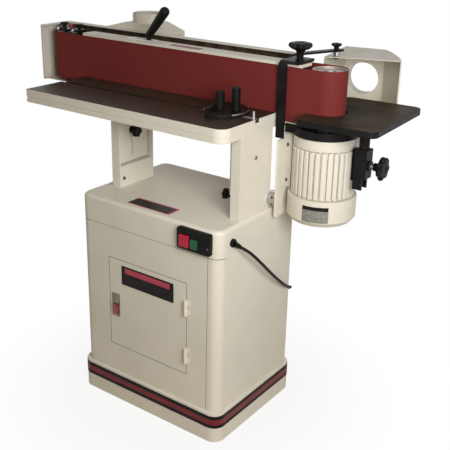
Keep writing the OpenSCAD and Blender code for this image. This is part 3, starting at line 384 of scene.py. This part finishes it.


# %% [markdown]
# The table below gives each solid its finish and the width of its eased edges. Thin stripes get a hair's
# width and castings a millimetre or more. The belt's edges stay sharp, as cut cloth is. The knobs and the
# motor's body aren't in it, because later cells make them anew.

# %% Ease the solids
dressed = {node: eased(node, finish, width) for node, finish, width in (
    ("base_plinth", ivory_paint, 0.002), ("stripe_black", black_stripe_paint, 0.0003),
    ("stripe_red", red_stripe_paint, 0.0003), ("cabinet_shell", ivory_paint, 0.0010),
    ("front_panel", ivory_paint, 0.0008), ("cabinet_top", ivory_paint, 0.0010),
    ("door_panel", ivory_paint, 0.0010), ("latch_frame", dull_nickel, 0.0008),
    ("latch_paddle", latch_red, 0.0010), ("switch_housing", black_moulding, 0.002),
    ("stop_button", red_moulding, 0.002), ("start_button", green_moulding, 0.002),
    ("left_column", ivory_paint, 0.0025), ("right_column", ivory_paint, 0.0025),
    ("left_pivot", brushed_steel, 0.001), ("right_pivot", brushed_steel, 0.0012),
    ("main_table", ivory_paint, 0.0018), ("left_bracket", ivory_paint, 0.0015),
    ("right_bracket", ivory_paint, 0.0015), ("miter_bar", brushed_steel, 0.0006),
    ("miter_head", black_enamel, 0.0015), ("miter_handle", black_moulding, 0.003),
    ("platen", ivory_paint, 0.0015), ("belt_guard", ivory_paint, 0.0009),
    ("left_hood", ivory_paint, 0.0009), ("left_arm", ivory_paint, 0.0015),
    ("motor_plate", ivory_paint, 0.0015), ("motor_bracket", black_enamel, 0.002),
    ("motor_bell", ivory_paint, 0.004), ("motor_cap", ivory_paint, 0.006),
    ("terminal_box", ivory_paint, 0.003), ("post_holder", black_enamel, 0.003),
    ("hood_arm", black_enamel, 0.0012), ("osc_rail", grey_steel_paint, 0.0015),
    ("sanding_belt", belt_grit, 0.0), ("drive_drum", drum_alloy, 0.001),
    ("idler_yoke", black_enamel, 0.0015), ("idler_drum", drum_alloy, 0.001),
    ("tension_lever", black_moulding, 0.0012), ("work_stop", black_enamel, 0.0015),
    ("end_hood", ivory_paint, 0.0009), ("end_table", black_enamel, 0.002),
    ("end_post", black_enamel, 0.001), ("cord_grommet", black_moulding, 0.001),
    ("cord_clip", black_moulding, 0.001), ("power_plug", black_moulding, 0.002))}
print("eased pieces:", len(dressed))

# %% [markdown]
# Some solids carry two finishes. Only the upper faces of the tables are bare ground iron, with the walls of
# the main table's slot. The tilt pin's end is painted over with the plate that it comes through. A second
# material slot goes to the faces that a small test picks by their centre and their normal, which needs no
# UV map.

# %% Bare table tops and a painted pin
LOOKS_ALONG = 0.6  # the share of a normal past which a face looks along that axis


def second_finish(piece, finish, chosen):
    piece.data.materials.append(finish)
    picked = [face for face in piece.data.polygons if chosen(face.center, face.normal)]
    for face in picked:
        face.material_index = 1
    return len(picked)


ground_rim, ground_depth = 0.002, 0.0105
for node, iron in (("main_table", ground_iron), ("end_table", iron_with_painted_reflection)):
    low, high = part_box(node)

    def bare(at, normal):
        inside = (low[0] + ground_rim < at.x < high[0] - ground_rim
                  and low[1] + ground_rim < at.y < high[1] - ground_rim)
        slot_wall = inside and node == "main_table"
        return at.z > high[2] - ground_depth and (normal.z > LOOKS_ALONG or slot_wall)

    print(node, "bare faces:", second_finish(dressed[node], iron, bare))

motor_plate_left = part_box("motor_plate")[0][0]
second_finish(dressed["right_pivot"], ivory_paint, lambda at, normal: at.x > motor_plate_left)

# %% [markdown]
# The cut edges of the door, the front sheet and the pan are painted dark brown as painted shade, so the
# gaps round them read as shaded lines. Clean ivory edges would pass the light on from wall to wall and
# leave the gaps pale. The inside of the belt guard is dark brown, painted shade together with sanding dust.

# %% Painted shade in the seams and the guard
sheet_front, just_behind, edge_on = -0.193, 0.0001, 0.8
seam_height, seam_reach, seam_back, seam_slope = 0.579, 0.002, -0.16, 0.3
guard_back, guard_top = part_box("belt_guard")[1][1:]
guard_wall, guard_lip = 0.006, 0.004


def cut_edge(at, normal):
    return abs(normal.y) < edge_on and at.y > sheet_front + just_behind


def pan_seam(at, normal):
    near = abs(at.z - seam_height) < seam_reach and at.y < seam_back
    return near and abs(normal.z) > seam_slope


def guard_inside(at, normal):
    return normal.y < -LOOKS_ALONG and at.y > guard_back - guard_wall and at.z < guard_top - guard_lip


# The cut edges and the pan's seam get the painted seam shade, and the guard's inside its painted shade with
# dust.
for node, finish, chosen in (
        ("door_panel", painted_seam_shade, cut_edge), ("front_panel", painted_seam_shade, cut_edge),
        ("cabinet_top", painted_seam_shade, pan_seam), ("cabinet_shell", painted_seam_shade, pan_seam),
        ("belt_guard", dust_and_shade_paint, guard_inside)):
    print(node, "dirty faces:", second_finish(dressed[node], finish, chosen))

# %% [markdown]
# Plates are glued or riveted to the door, the cabinet's top, the platen and the motor. They are bare, with
# plain bands of colour: painted red or black, etched, or bright zinc.

# %% Plate finishes
plate_red = new_finish("plate_red", (0.36, 0.012, 0.045), 0.36)
add_drift(plate_red, (0.32, 0.010, 0.040), (0.40, 0.015, 0.052), 50.0)
add_bump(plate_red, 700.0, 0.04, 0.0003)

label_red = new_finish("label_red", (0.20, 0.022, 0.026), 0.45)
add_drift(label_red, (0.17, 0.018, 0.022), (0.23, 0.027, 0.031), 50.0)
add_bump(label_red, 700.0, 0.04, 0.0003)

etched_plate = new_finish("etched_plate", (0.24, 0.225, 0.20), 0.42, 0.7)
add_drift(etched_plate, (0.17, 0.16, 0.14), (0.31, 0.295, 0.265), 120.0, detail=5.0,
          stretch=(1.0, 1.0, 3.0))
add_bump(etched_plate, 900.0, 0.06, 0.0003)

zinc_plate = new_finish("zinc_plate", (0.80, 0.79, 0.77), 0.4, 0.15)
add_drift(zinc_plate, (0.76, 0.75, 0.73), (0.84, 0.83, 0.81), 60.0)
add_bump(zinc_plate, 900.0, 0.04, 0.0003)
print("finishes:", len(bpy.data.materials))

# %% [markdown]
# A scaled cube would have knife edges, so a plate is three rings of points: its back, the foot of its
# sloped edge, and its face. A flat ring uses a second outline for its hole, and a bent plate follows a
# vertical axis. Places and sizes of added pieces are given in millimetres.

# %% Plate shapes
def added(name, body, verts, faces, finish, degrees=SMOOTH_BELOW):
    mesh = bpy.data.meshes.new(name)
    mesh.from_pydata(verts, [], faces)
    mesh.materials.append(finish)
    smooth_by_angle(mesh, degrees)
    piece = bpy.data.objects.new(name, mesh)
    scene.collection.objects.link(piece)
    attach(piece, body)
    return piece


def rounded_outline(width, height, corner, steps=5):
    points = []
    for side, end, start in ((1, -1, -90), (1, 1, 0), (-1, 1, 90), (-1, -1, 180)):
        for k in range(steps + 1):
            a = math.radians(start + 90.0 * k / steps)
            points.append((side * (width / 2 - corner) + corner * math.cos(a),
                           end * (height / 2 - corner) + corner * math.sin(a)))
    return points


def ring_faces(rings, count):
    """Quads between rings of points that follow each other."""
    faces = []
    for r in range(rings - 1):
        for k in range(count):
            here, after = r * count + k, r * count + (k + 1) % count
            faces.append((here, after, after + count, here + count))
    return faces


def closed_rings(rings, count):
    """The same quads, with the first and the last ring filled."""
    last = (rings - 1) * count
    ends = [tuple(range(count - 1, -1, -1)), tuple(range(last, last + count))]
    return ring_faces(rings, count) + ends


def plate(name, body, finish, middle, across, up, size, thick, corner, edge):
    middle, across, up = Vector(middle), Vector(across), Vector(up)
    out = across.cross(up)
    verts = []
    for inset, lift in ((0.0, 0.0), (0.0, thick - edge), (edge, thick)):
        for u, v in rounded_outline(size[0] - 2 * inset, size[1] - 2 * inset, corner - inset):
            verts.append((middle + across * u + up * v + out * lift) * MM)
    return added(name, body, verts, closed_rings(3, len(verts) // 3), finish)


def ring_plate(name, body, finish, middle, size, hole, thick, corner):
    verts = []
    for (width, height), lift in ((size, 0.0), (size, thick), (hole, thick), (hole, 0.0)):
        for u, v in rounded_outline(width, height, corner):
            verts.append((Vector(middle) + Vector((u, v, lift))) * MM)
    count = len(verts) // 4
    under = [(k, count * 3 + k, count * 3 + (k + 1) % count, (k + 1) % count) for k in range(count)]
    return added(name, body, verts, ring_faces(4, count) + under, finish)


def bent_plate(name, body, finish, axis, radius, sweep, heights, thick, steps=20):
    verts = []
    for k in range(steps + 1):
        a = math.radians(sweep[0] + (sweep[1] - sweep[0]) * k / steps)
        for r, z in ((radius, heights[0]), (radius + thick, heights[0]),
                     (radius + thick, heights[1]), (radius, heights[1])):
            verts.append(Vector((axis[0] + r * math.cos(a), axis[1] + r * math.sin(a), z)) * MM)
    faces = [tuple(reversed(face)) for face in closed_rings(steps + 1, 4)]
    return added(name, body, verts, faces, finish)


# %% [markdown]
# Each row below is one flat plate: its body and finish, the middle of its back, the way its upper edge
# points, its width and height, its thickness, the radius of its corners and the width of its sloped edge.

# %% Plates
leftward, rightward, frontward, backward = (-1, 0, 0), (1, 0, 0), (0, -1, 0), (0, 1, 0)
upward = (0, 0, 1)
plates = []
for name, body, slot, finish, middle, up, size, thick, corner, edge in (
        ("door_plate", "door", "black_plastic", plate_black,
         (1.5, -193, 434.5), upward, (199, 61), 1.2, 2.0, 0.4),
        ("door_band", "door", "red_plastic", plate_red,
         (1.5, -194.2, 451.5), upward, (171, 17), 0.3, 0.8, 0.1),
        ("top_plate", "base", "red_plastic", plate_red,
         (-11, -146, 660), backward, (154, 50), 1.0, 2.0, 0.4),
        ("top_plate_face", "base", "black_plastic", plate_black,
         (-14, -149, 661), backward, (147, 43), 0.3, 1.5, 0.1),
        ("platen_label", "head", "black_plastic", plate_black,
         (-85, 93, 1075), backward, (112, 22), 0.5, 1.0, 0.1),
        ("platen_band", "head", "red_plastic", label_red,
         (-85, 92.5, 1075.5), backward, (107, 17), 0.2, 0.8, 0.1)):
    plates.append(plate(name, body, finish, middle, rightward, up, size, thick, corner, edge))

motor_axis, cap_radius, face_thick = (381, 126), 97, 0.8
plates.append(bent_plate("motor_plate_face", "head", etched_plate, motor_axis, cap_radius,
                         sweep=(-93, -49), heights=(659, 705), thick=face_thick))
plates.append(bent_plate("motor_plate_head", "head", plate_black, motor_axis,
                         cap_radius + face_thick, sweep=(-92.5, -49.5), heights=(694, 704.6), thick=0.2))
lever_slot_middle = (-274, 113, 1075)
plates.append(ring_plate("lever_plate", "head", zinc_plate, lever_slot_middle,
                         size=(104, 36), hole=(90, 11), thick=0.8, corner=4.0))
miter_pivot, miter_rim = (127, -23), 80
plates.append(bent_plate("miter_scale", "miter_gauge", brushed_steel, miter_pivot,
                         miter_rim, sweep=(-30, 98), heights=(943, 946), thick=0.5, steps=48))
print("plates:", len(plates))

# %% [markdown]
# Turned parts are swept: each ring of the profile has a height, a radius and a lobe depth, and the rings go
# round an axis. A plain ring has no lobes. A Screw modifier could turn a plain profile too, but it couldn't
# make the lobes of the knobs that follow. The first turned part is the bright sleeve on the hood's stud.

# %% Turned parts
LOBE_POWER = 1.5


def turned(name, body, finish, foot, axis, rings, steps, lobes=0, degrees=SMOOTH_BELOW):
    foot, axis = Vector(foot) * MM, Vector(axis)
    side = axis.orthogonal().normalized()
    other = axis.cross(side)
    verts = []
    for h, r, dip in rings:
        for k in range(steps):
            a = 2.0 * math.pi * k / steps
            reach = r * (1.0 - dip * (0.5 - 0.5 * math.cos(lobes * a)) ** LOBE_POWER) * MM
            verts.append(foot + (side * math.cos(a) + other * math.sin(a)) * reach + axis * h * MM)
    return added(name, body, verts, closed_rings(len(rings), steps), finish, degrees)


def plain(*rings):
    return [(h, r, 0.0) for h, r in rings]


hood_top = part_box("end_hood")[1][2] / MM
turned("stud_sleeve", "head", plated_steel, (276, 350, hood_top + 1), upward,
       plain((0, 8.1), (0.2, 10.4), (0.8, 10.8), (11.6, 10.8), (12.2, 10.4), (12.4, 8.1)), steps=28)
print("turned parts: the stud's sleeve on a hood at", round(hood_top, 1))

# %% [markdown]
# Eight hand knobs lock and adjust the machine. A moulded knob is a turned shape whose rim swells into lobes
# and whose top is domed, so the radius dips between the lobes. Plain rings below the head make the stud,
# washer and neck in the same sweep. Where the stud shows, its faces are steel.

# %% Knob shapes
KNOB_SMOOTH, STEPS_PER_LOBE = 40.0, 12


def hand_knob(node, foot, axis, lobes, rings, stud_top=None):
    piece = turned(node + "_turned", body_of_node[node], black_moulding, foot, axis, rings,
                   steps=lobes * STEPS_PER_LOBE, lobes=lobes, degrees=KNOB_SMOOTH)
    if stud_top is not None:
        start, along = Vector(foot) * MM, Vector(axis)
        second_finish(piece, brushed_steel, lambda at, normal: (at - start).dot(along) < stud_top * MM)
    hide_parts(node)


def lobed_head(low, high, radius, neck):
    """Rings of a knob's head: a cone under the rim, a rounded rim, a domed top and a shallow dish."""
    shares = ((0.0, neck / radius, 0.0), (0.16, 0.50, 0.04), (0.32, 0.80, 0.14), (0.42, 0.93, 0.20),
              (0.52, 0.985, 0.22), (0.64, 1.0, 0.22), (0.76, 0.985, 0.22), (0.87, 0.93, 0.20),
              (0.95, 0.82, 0.17), (0.99, 0.66, 0.10), (1.0, 0.45, 0.0), (0.985, 0.32, 0.0),
              (0.93, 0.28, 0.0), (0.90, 0.18, 0.0), (0.895, 0.06, 0.0))
    return [(low + (high - low) * h, radius * r, dip) for h, r, dip in shares]


# %% [markdown]
# A knob is placed by the middle of its seat on the machine and the way that it points. Its rings are
# heights above that seat and radii, so a ring below zero is the stud's inner end.

# %% Hand knobs
lock_head = plain((0.3, 6), (0.3, 11), (9, 11), (12, 12)) + lobed_head(12, 28, radius=21, neck=12)
hand_knob("left_lock_knob", (-203.7, -22, 827), rightward, 6, plain((-13.9, 6)) + lock_head)
hand_knob("right_lock_knob", (210.7, -22, 827), leftward, 6, plain((-41.9, 6)) + lock_head, stud_top=0)
hand_knob("tilt_knob", (219, -38, 709), leftward, 6,
          plain((-17.9, 6), (36, 6), (36, 9), (43, 9)) + lobed_head(43, 60, radius=17, neck=9.5))
hand_knob("stop_knob", (301, 100, 1075.3), upward, 7,
          plain((0, 6), (8.3, 6), (8.3, 13), (11.3, 13), (11.3, 9), (17, 9.5), (30, 10.5))
          + lobed_head(32, 56, radius=33, neck=12))
hand_knob("hood_knob", (276, 350, 1078), upward, 5,
          plain((0.3, 7), (5, 7)) + lobed_head(5, 18, radius=16, neck=7.5))
hand_knob("end_knob", (531, 110, 828), rightward, 7,
          plain((-9.6, 6), (9, 6), (9, 11), (17, 11.5)) + lobed_head(18, 42, radius=33, neck=12.5),
          stud_top=8.9)
tracking_rings = plain((0.3, 6), (4.5, 6)) + lobed_head(4.5, 17, radius=13, neck=6.5)
for node, along_belt in (("tracking_knob_a", -625), ("tracking_knob_b", -556)):
    hand_knob(node, (along_belt, 118, 1077), upward, 6, tracking_rings)

# %% [markdown]
# The motor's shell has upright cooling ribs with rounded ends. One rib is drawn and set round the shell by
# Geometry Nodes: a rounded rectangle is filled, pushed outwards and closed at the back, then put on every
# point of a ring of points. A loop could copy a rib too, but here its sizes stay named inputs.

# %% Rib tree
def rib_tree():
    tree = bpy.data.node_groups.new("cooling_ribs", "GeometryNodeTree")
    face, nodes, links = tree.interface, tree.nodes, tree.links
    face.new_socket("Geometry", in_out="INPUT", socket_type="NodeSocketGeometry")
    for label in ("Rib width", "Rib height", "Rib depth", "End radius"):
        face.new_socket(label, in_out="INPUT", socket_type="NodeSocketFloat")
    face.new_socket("Finish", in_out="INPUT", socket_type="NodeSocketMaterial")
    face.new_socket("Geometry", in_out="OUTPUT", socket_type="NodeSocketGeometry")
    given, result = nodes.new("NodeGroupInput"), nodes.new("NodeGroupOutput")
    outline = nodes.new("GeometryNodeCurvePrimitiveQuadrilateral")
    links.new(given.outputs["Rib height"], outline.inputs["Width"])
    links.new(given.outputs["Rib width"], outline.inputs["Height"])
    rounded = nodes.new("GeometryNodeFilletCurve")
    rounded.mode = "POLY"
    rounded.inputs["Count"].default_value = 5
    links.new(outline.outputs["Curve"], rounded.inputs["Curve"])
    links.new(given.outputs["End radius"], rounded.inputs["Radius"])
    filled = nodes.new("GeometryNodeFillCurve")
    filled.mode = "NGONS"
    links.new(rounded.outputs["Curve"], filled.inputs["Curve"])
    pushed = nodes.new("GeometryNodeExtrudeMesh")
    pushed.inputs["Individual"].default_value = False
    links.new(filled.outputs["Mesh"], pushed.inputs["Mesh"])
    links.new(given.outputs["Rib depth"], pushed.inputs["Offset Scale"])
    flipped = nodes.new("GeometryNodeFlipFaces")
    links.new(filled.outputs["Mesh"], flipped.inputs["Mesh"])
    closed = nodes.new("GeometryNodeJoinGeometry")
    links.new(flipped.outputs["Mesh"], closed.inputs["Geometry"])
    links.new(pushed.outputs["Mesh"], closed.inputs["Geometry"])
    welded = nodes.new("GeometryNodeMergeByDistance")
    links.new(closed.outputs["Geometry"], welded.inputs["Geometry"])
    facing = nodes.new("GeometryNodeInputNamedAttribute")
    facing.data_type = "FLOAT_VECTOR"
    facing.inputs["Name"].default_value = "turn"
    spread = nodes.new("GeometryNodeInstanceOnPoints")
    links.new(given.outputs["Geometry"], spread.inputs["Points"])
    links.new(welded.outputs["Geometry"], spread.inputs["Instance"])
    links.new(facing.outputs["Attribute"], spread.inputs["Rotation"])
    real = nodes.new("GeometryNodeRealizeInstances")
    links.new(spread.outputs["Instances"], real.inputs["Geometry"])
    coat = nodes.new("GeometryNodeSetMaterial")
    links.new(real.outputs["Geometry"], coat.inputs["Geometry"])
    links.new(given.outputs["Finish"], coat.inputs["Material"])
    links.new(coat.outputs["Geometry"], result.inputs["Geometry"])
    return tree


def set_inputs(modifier, wanted):
    for item in modifier.node_group.interface.items_tree:
        if item.in_out == "INPUT" and item.name in wanted:
            modifier[item.identifier] = wanted[item.name]


# %% [markdown]
# The ring has one point for each rib, a millimetre inside the plain shell, so no rib hangs in the air. Each
# point carries the turn that lays its rib upright and facing out. The plain shell is turned, and a block
# joins it to the machine.

# %% Motor ribs
shell_radius, rib_radius, rib_count, rib_sink = 80.0, 88.6, 32, 1.0
rib_width, rib_end_radius, rib_end_gap = 12.2, 5.8, 1.0
rib_soft_edge, rib_smooth = 0.0018, 50.0
ribs_low, ribs_high = (corner[2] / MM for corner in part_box("motor_body"))
ribs_tall, ribs_middle = ribs_high - ribs_low, (ribs_low + ribs_high) / 2
motor_core = turned("motor_core", "head", ivory_paint, (*motor_axis, ribs_low), upward,
                    plain((0, shell_radius), (ribs_tall, shell_radius)), steps=96)
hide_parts("motor_body")

foot_radius = shell_radius - rib_sink
angles = [2.0 * math.pi * (k + 0.5) / rib_count for k in range(rib_count)]
rib_feet = [Vector((motor_axis[0] + foot_radius * math.cos(a), motor_axis[1] + foot_radius * math.sin(a),
                    ribs_middle)) * MM for a in angles]
ring = bpy.data.meshes.new("motor_ribs")
ring.from_pydata(rib_feet, [], [])
ring.attributes.new("turn", "FLOAT_VECTOR", "POINT")
ring.attributes["turn"].data.foreach_set("vector", [c for a in angles for c in (0.0, math.pi / 2, a)])
motor_ribs = bpy.data.objects.new("motor_ribs", ring)
scene.collection.objects.link(motor_ribs)
rib_maker = motor_ribs.modifiers.new("ribs", "NODES")
rib_maker.node_group = rib_tree()
set_inputs(rib_maker, {
    "Rib width": rib_width * MM, "Rib height": (ribs_tall - 2 * rib_end_gap) * MM,
    "Rib depth": (rib_radius - foot_radius) * MM, "End radius": rib_end_radius * MM, "Finish": ivory_paint})
bake_modifiers(motor_ribs)
soften = motor_ribs.modifiers.new("soften", "BEVEL")
soften.width, soften.segments, soften.limit_method = rib_soft_edge, 3, "ANGLE"
bake_modifiers(motor_ribs)
smooth_by_angle(motor_ribs.data, rib_smooth)
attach(motor_ribs, "head")

block_left, block_width, block_short = 284, 44, 32
plate("motor_foot", "head", ivory_paint, (block_left, motor_axis[1], ribs_middle), backward,
      upward, (block_width, ribs_tall - block_short), thick=20, corner=4.0, edge=1.5)
print("rib faces:", len(motor_ribs.data.polygons))

# %% [markdown]
# Screw heads repeat over the machine, so they are one Geometry Nodes tree: a tapered head and a short
# black hex prism are put on every point of a small mesh. The prism's black is painted shade, standing for
# the hollow of a hex socket. Each point carries the way its screw faces and its size, so one change to the
# tree reaches them all.

# %% Screw tree
HEAD_TAPER, HEAD_SIDES = 0.82, 20
SOCKET_WIDTH, SOCKET_DEPTH, SOCKET_LIFT, SOCKET_SIDES = 0.5, 0.3, 0.9, 6


def screw_tree():
    tree = bpy.data.node_groups.new("screw_heads", "GeometryNodeTree")
    face, nodes, links = tree.interface, tree.nodes, tree.links
    face.new_socket("Geometry", in_out="INPUT", socket_type="NodeSocketGeometry")
    for label in ("Head radius", "Head height"):
        face.new_socket(label, in_out="INPUT", socket_type="NodeSocketFloat")
    for label in ("Head finish", "Socket painted shade"):
        face.new_socket(label, in_out="INPUT", socket_type="NodeSocketMaterial")
    face.new_socket("Geometry", in_out="OUTPUT", socket_type="NodeSocketGeometry")
    given, result = nodes.new("NodeGroupInput"), nodes.new("NodeGroupOutput")

    def share(source, part):
        times = nodes.new("ShaderNodeMath")
        times.operation = "MULTIPLY"
        times.inputs[1].default_value = part
        links.new(given.outputs[source], times.inputs[0])
        return times.outputs["Value"]

    def stored(name, kind):
        read = nodes.new("GeometryNodeInputNamedAttribute")
        read.data_type = kind
        read.inputs["Name"].default_value = name
        return read.outputs["Attribute"]

    turn = nodes.new("FunctionNodeAlignRotationToVector")
    turn.axis = "Z"
    links.new(stored("aim", "FLOAT_VECTOR"), turn.inputs["Vector"])
    size = stored("size", "FLOAT")

    head = nodes.new("GeometryNodeMeshCone")
    head.inputs["Vertices"].default_value = HEAD_SIDES
    links.new(share("Head radius", HEAD_TAPER), head.inputs["Radius Top"])
    links.new(given.outputs["Head radius"], head.inputs["Radius Bottom"])
    links.new(given.outputs["Head height"], head.inputs["Depth"])

    # Painted shade: a solid hex prism in black stands for the shaded hollow of a socket.
    socket = nodes.new("GeometryNodeMeshCylinder")
    socket.inputs["Vertices"].default_value = SOCKET_SIDES
    links.new(share("Head radius", SOCKET_WIDTH), socket.inputs["Radius"])
    links.new(share("Head height", SOCKET_DEPTH), socket.inputs["Depth"])
    lift = nodes.new("ShaderNodeCombineXYZ")
    links.new(share("Head height", SOCKET_LIFT), lift.inputs["Z"])
    raised = nodes.new("GeometryNodeTransform")
    links.new(socket.outputs["Mesh"], raised.inputs["Geometry"])
    links.new(lift.outputs["Vector"], raised.inputs["Translation"])

    joined = nodes.new("GeometryNodeJoinGeometry")
    for shape, finish in ((raised.outputs["Geometry"], "Socket painted shade"),
                          (head.outputs["Mesh"], "Head finish")):
        spread = nodes.new("GeometryNodeInstanceOnPoints")
        links.new(given.outputs["Geometry"], spread.inputs["Points"])
        links.new(shape, spread.inputs["Instance"])
        links.new(turn.outputs["Rotation"], spread.inputs["Rotation"])
        links.new(size, spread.inputs["Scale"])
        real = nodes.new("GeometryNodeRealizeInstances")
        links.new(spread.outputs["Instances"], real.inputs["Geometry"])
        coat = nodes.new("GeometryNodeSetMaterial")
        links.new(real.outputs["Geometry"], coat.inputs["Geometry"])
        links.new(given.outputs[finish], coat.inputs["Material"])
        links.new(coat.outputs["Geometry"], joined.inputs["Geometry"])
    links.new(joined.outputs["Geometry"], result.inputs["Geometry"])
    return tree


# %% [markdown]
# The screws of one body are one piece, so that they move together. A row gives a screw's place, the way it
# faces and its size against the tree's own head. The two attributes are made first and filled by name,
# because making a second one can move the first one's data.

# %% Screw heads
head_radius, head_height = 4.0, 2.2
screw_heads = screw_tree()


def screws(name, body, finish, places):
    mesh = bpy.data.meshes.new(name)
    mesh.from_pydata([Vector(at) * MM for at, aim, size in places], [], [])
    mesh.attributes.new("aim", "FLOAT_VECTOR", "POINT")
    mesh.attributes.new("size", "FLOAT", "POINT")
    mesh.attributes["aim"].data.foreach_set("vector", [c for at, aim, size in places for c in aim])
    mesh.attributes["size"].data.foreach_set("value", [size for at, aim, size in places])
    piece = bpy.data.objects.new(name, mesh)
    scene.collection.objects.link(piece)
    spread = piece.modifiers.new("heads", "NODES")
    spread.node_group = screw_heads
    # The socket's black finish is painted shade.
    set_inputs(spread, {"Head radius": head_radius * MM, "Head height": head_height * MM,
                        "Head finish": finish, "Socket painted shade": plate_black})
    bake_modifiers(piece)
    smooth_by_angle(piece.data)
    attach(piece, body)
    print(name, len(places))


boss_middle, boss_radius = (268, 60, 688), 20
boss_screws = []
for a in (-0.5, 0.5, 1.5, 2.5, 3.5, 4.5):
    out = (0, -math.cos(a), math.sin(a))
    boss_screws.append((Vector(boss_middle) + Vector(out) * boss_radius, out, 1.1))
screws("base_screws", "base", dull_nickel,
       [((230, -208, 612), frontward, 0.7), ((-189, -76, 688), rightward, 1.4),
        ((-221, -60, 700), leftward, 1.3), ((-221, 40, 700), leftward, 1.3)] + boss_screws)
screws("head_screws", "head", dull_nickel,
       [((282, 90, 846), rightward, 1.4), ((282, 91, 742), rightward, 1.4)]
       + [((x, 198, 925), backward, 1.0) for x in (-640, -430, -200, 30, 250)]
       + [((x, 198, 1060), backward, 1.0) for x in (-640, -180, 30, 250)])
screws("yoke_screws", "carriage", plated_steel,
       [((-634, 98, 1073), frontward, 1.2), ((-566, 98, 1073), frontward, 1.2),
        ((-590, 104, 1077), upward, 0.8)])

# %% [markdown]
# A small red block sits between the tracking knobs. It is a thick plate with a wide sloped edge, so the
# helper for plates makes it.

# %% Tracking pointer
pointer = plate("track_pointer", "carriage", label_red, (-592, 118, 1077), rightward,
                backward, (14, 16), thick=14, corner=3.0, edge=1.5)
print("pointer faces:", len(pointer.data.polygons))

# %% [markdown]
# The machine stands on a plain, pale, warm floor. The camera and mirrors see it fade to white with
# distance, through Light Path, so the background is white with no more light on the machine, and the floor
# keeps the shadow close by.

# %% Studio floor
floor_half, floor_drop = 12.0, 0.0005
floor_corners = [(x * floor_half, y * floor_half, -floor_drop)
                 for x, y in ((-1, -1), (1, -1), (1, 1), (-1, 1))]
floor_mesh = bpy.data.meshes.new("studio_floor")
floor_mesh.from_pydata(floor_corners, [], [(0, 1, 2, 3)])
studio_floor = bpy.data.objects.new("studio_floor", floor_mesh)
scene.collection.objects.link(studio_floor)
floor_paint = new_finish("floor_paint", (0.55, 0.48, 0.38), 0.9)
add_drift(floor_paint, (0.54, 0.47, 0.37), (0.56, 0.49, 0.39), 2.0)


def seen_directly(tree):
    """One where a ray comes from the camera, a mirror or a lens, so that white shows in them too."""
    path = tree.nodes.new("ShaderNodeLightPath")
    total = path.outputs["Is Camera Ray"]
    for kind in ("Is Glossy Ray", "Is Transmission Ray"):
        add = tree.nodes.new("ShaderNodeMath")
        add.operation = "MAXIMUM"
        tree.links.new(total, add.inputs[0])
        tree.links.new(path.outputs[kind], add.inputs[1])
        total = add.outputs["Value"]
    return total


def whiten(mat, near, far, share):
    """Lift a floor towards white for such rays: by a share up to near, and fully past far, in metres."""
    tree = mat.node_tree
    where = tree.nodes.new("ShaderNodeTexCoord")
    reach = tree.nodes.new("ShaderNodeVectorMath")
    reach.operation = "LENGTH"
    fade = tree.nodes.new("ShaderNodeMapRange")
    fade.interpolation_type = "SMOOTHSTEP"
    for name, value in (("From Min", near), ("From Max", far), ("To Min", share), ("To Max", 1.0)):
        fade.inputs[name].default_value = value
    both = tree.nodes.new("ShaderNodeMath")
    both.operation = "MULTIPLY"
    white = tree.nodes.new("ShaderNodeEmission")
    white.inputs["Color"].default_value = (1.0, 1.0, 1.0, 1.0)
    mix = tree.nodes.new("ShaderNodeMixShader")
    tree.links.new(where.outputs["Object"], reach.inputs[0])
    tree.links.new(reach.outputs["Value"], fade.inputs["Value"])
    tree.links.new(fade.outputs["Result"], both.inputs[0])
    tree.links.new(seen_directly(tree), both.inputs[1])
    tree.links.new(both.outputs["Value"], mix.inputs["Fac"])
    tree.links.new(tree.nodes["Principled BSDF"].outputs["BSDF"], mix.inputs[1])
    tree.links.new(white.outputs["Emission"], mix.inputs[2])
    tree.links.new(mix.outputs["Shader"], tree.nodes["Material Output"].inputs["Surface"])


whiten(floor_paint, near=0.25, far=0.75, share=0.89)
floor_mesh.materials.append(floor_paint)
print("floor:", 2 * floor_half, "m wide")

# %% [markdown]
# The key lamp is close, high and to the front right, because the right faces are the brightest and
# everything darkens to the left and the floor. A weak lamp overhead lights the tops, and one behind lights
# the back. Large panels give the soft edges of shadows that a point lamp can't.

# %% Lamps
def soft_panel(name, place, aim, size, power):
    data = bpy.data.lights.new(name, "AREA")
    data.shape = "RECTANGLE"
    data.size, data.size_y = size
    data.energy = power
    lamp = bpy.data.objects.new(name, data)
    scene.collection.objects.link(lamp)
    lamp.location = place
    lamp.rotation_euler = (Vector(aim) - Vector(place)).to_track_quat("-Z", "Y").to_euler()


soft_panel("key_panel", place=(1.38, -1.0, 1.42), aim=(0.1, 0.0, 0.75), size=(0.8, 0.8), power=33.0)
soft_panel("sky_panel", place=(0.4, -1.2, 2.8), aim=(0.1, -0.1, 0.7), size=(1.4, 1.4), power=5.0)
soft_panel("rear_panel", place=(-0.9, 2.4, 0.5), aim=(0.0, 0.2, 0.7), size=(0.8, 0.6), power=16.0)
print("lamps:", len(bpy.data.lights))

# %% [markdown]
# A warm, weak world fills the shadows. The camera and mirrors see white instead, by the same test as for
# the floor.

# %% World
world = bpy.data.worlds.new("studio_world")
scene.world = world
world.use_nodes = True
tree = world.node_tree
fill = tree.nodes["Background"]
fill.inputs["Color"].default_value = (1.0, 0.86, 0.66, 1.0)
fill.inputs["Strength"].default_value = 0.16
seen = tree.nodes.new("ShaderNodeBackground")
seen.inputs["Color"].default_value = (1.0, 1.0, 1.0, 1.0)
mix = tree.nodes.new("ShaderNodeMixShader")
tree.links.new(seen_directly(tree), mix.inputs["Fac"])
tree.links.new(fill.outputs["Background"], mix.inputs[1])
tree.links.new(seen.outputs["Background"], mix.inputs[2])
tree.links.new(mix.outputs["Shader"], tree.nodes["World Output"].inputs["Surface"])
print("world fill:", fill.inputs["Strength"].default_value)
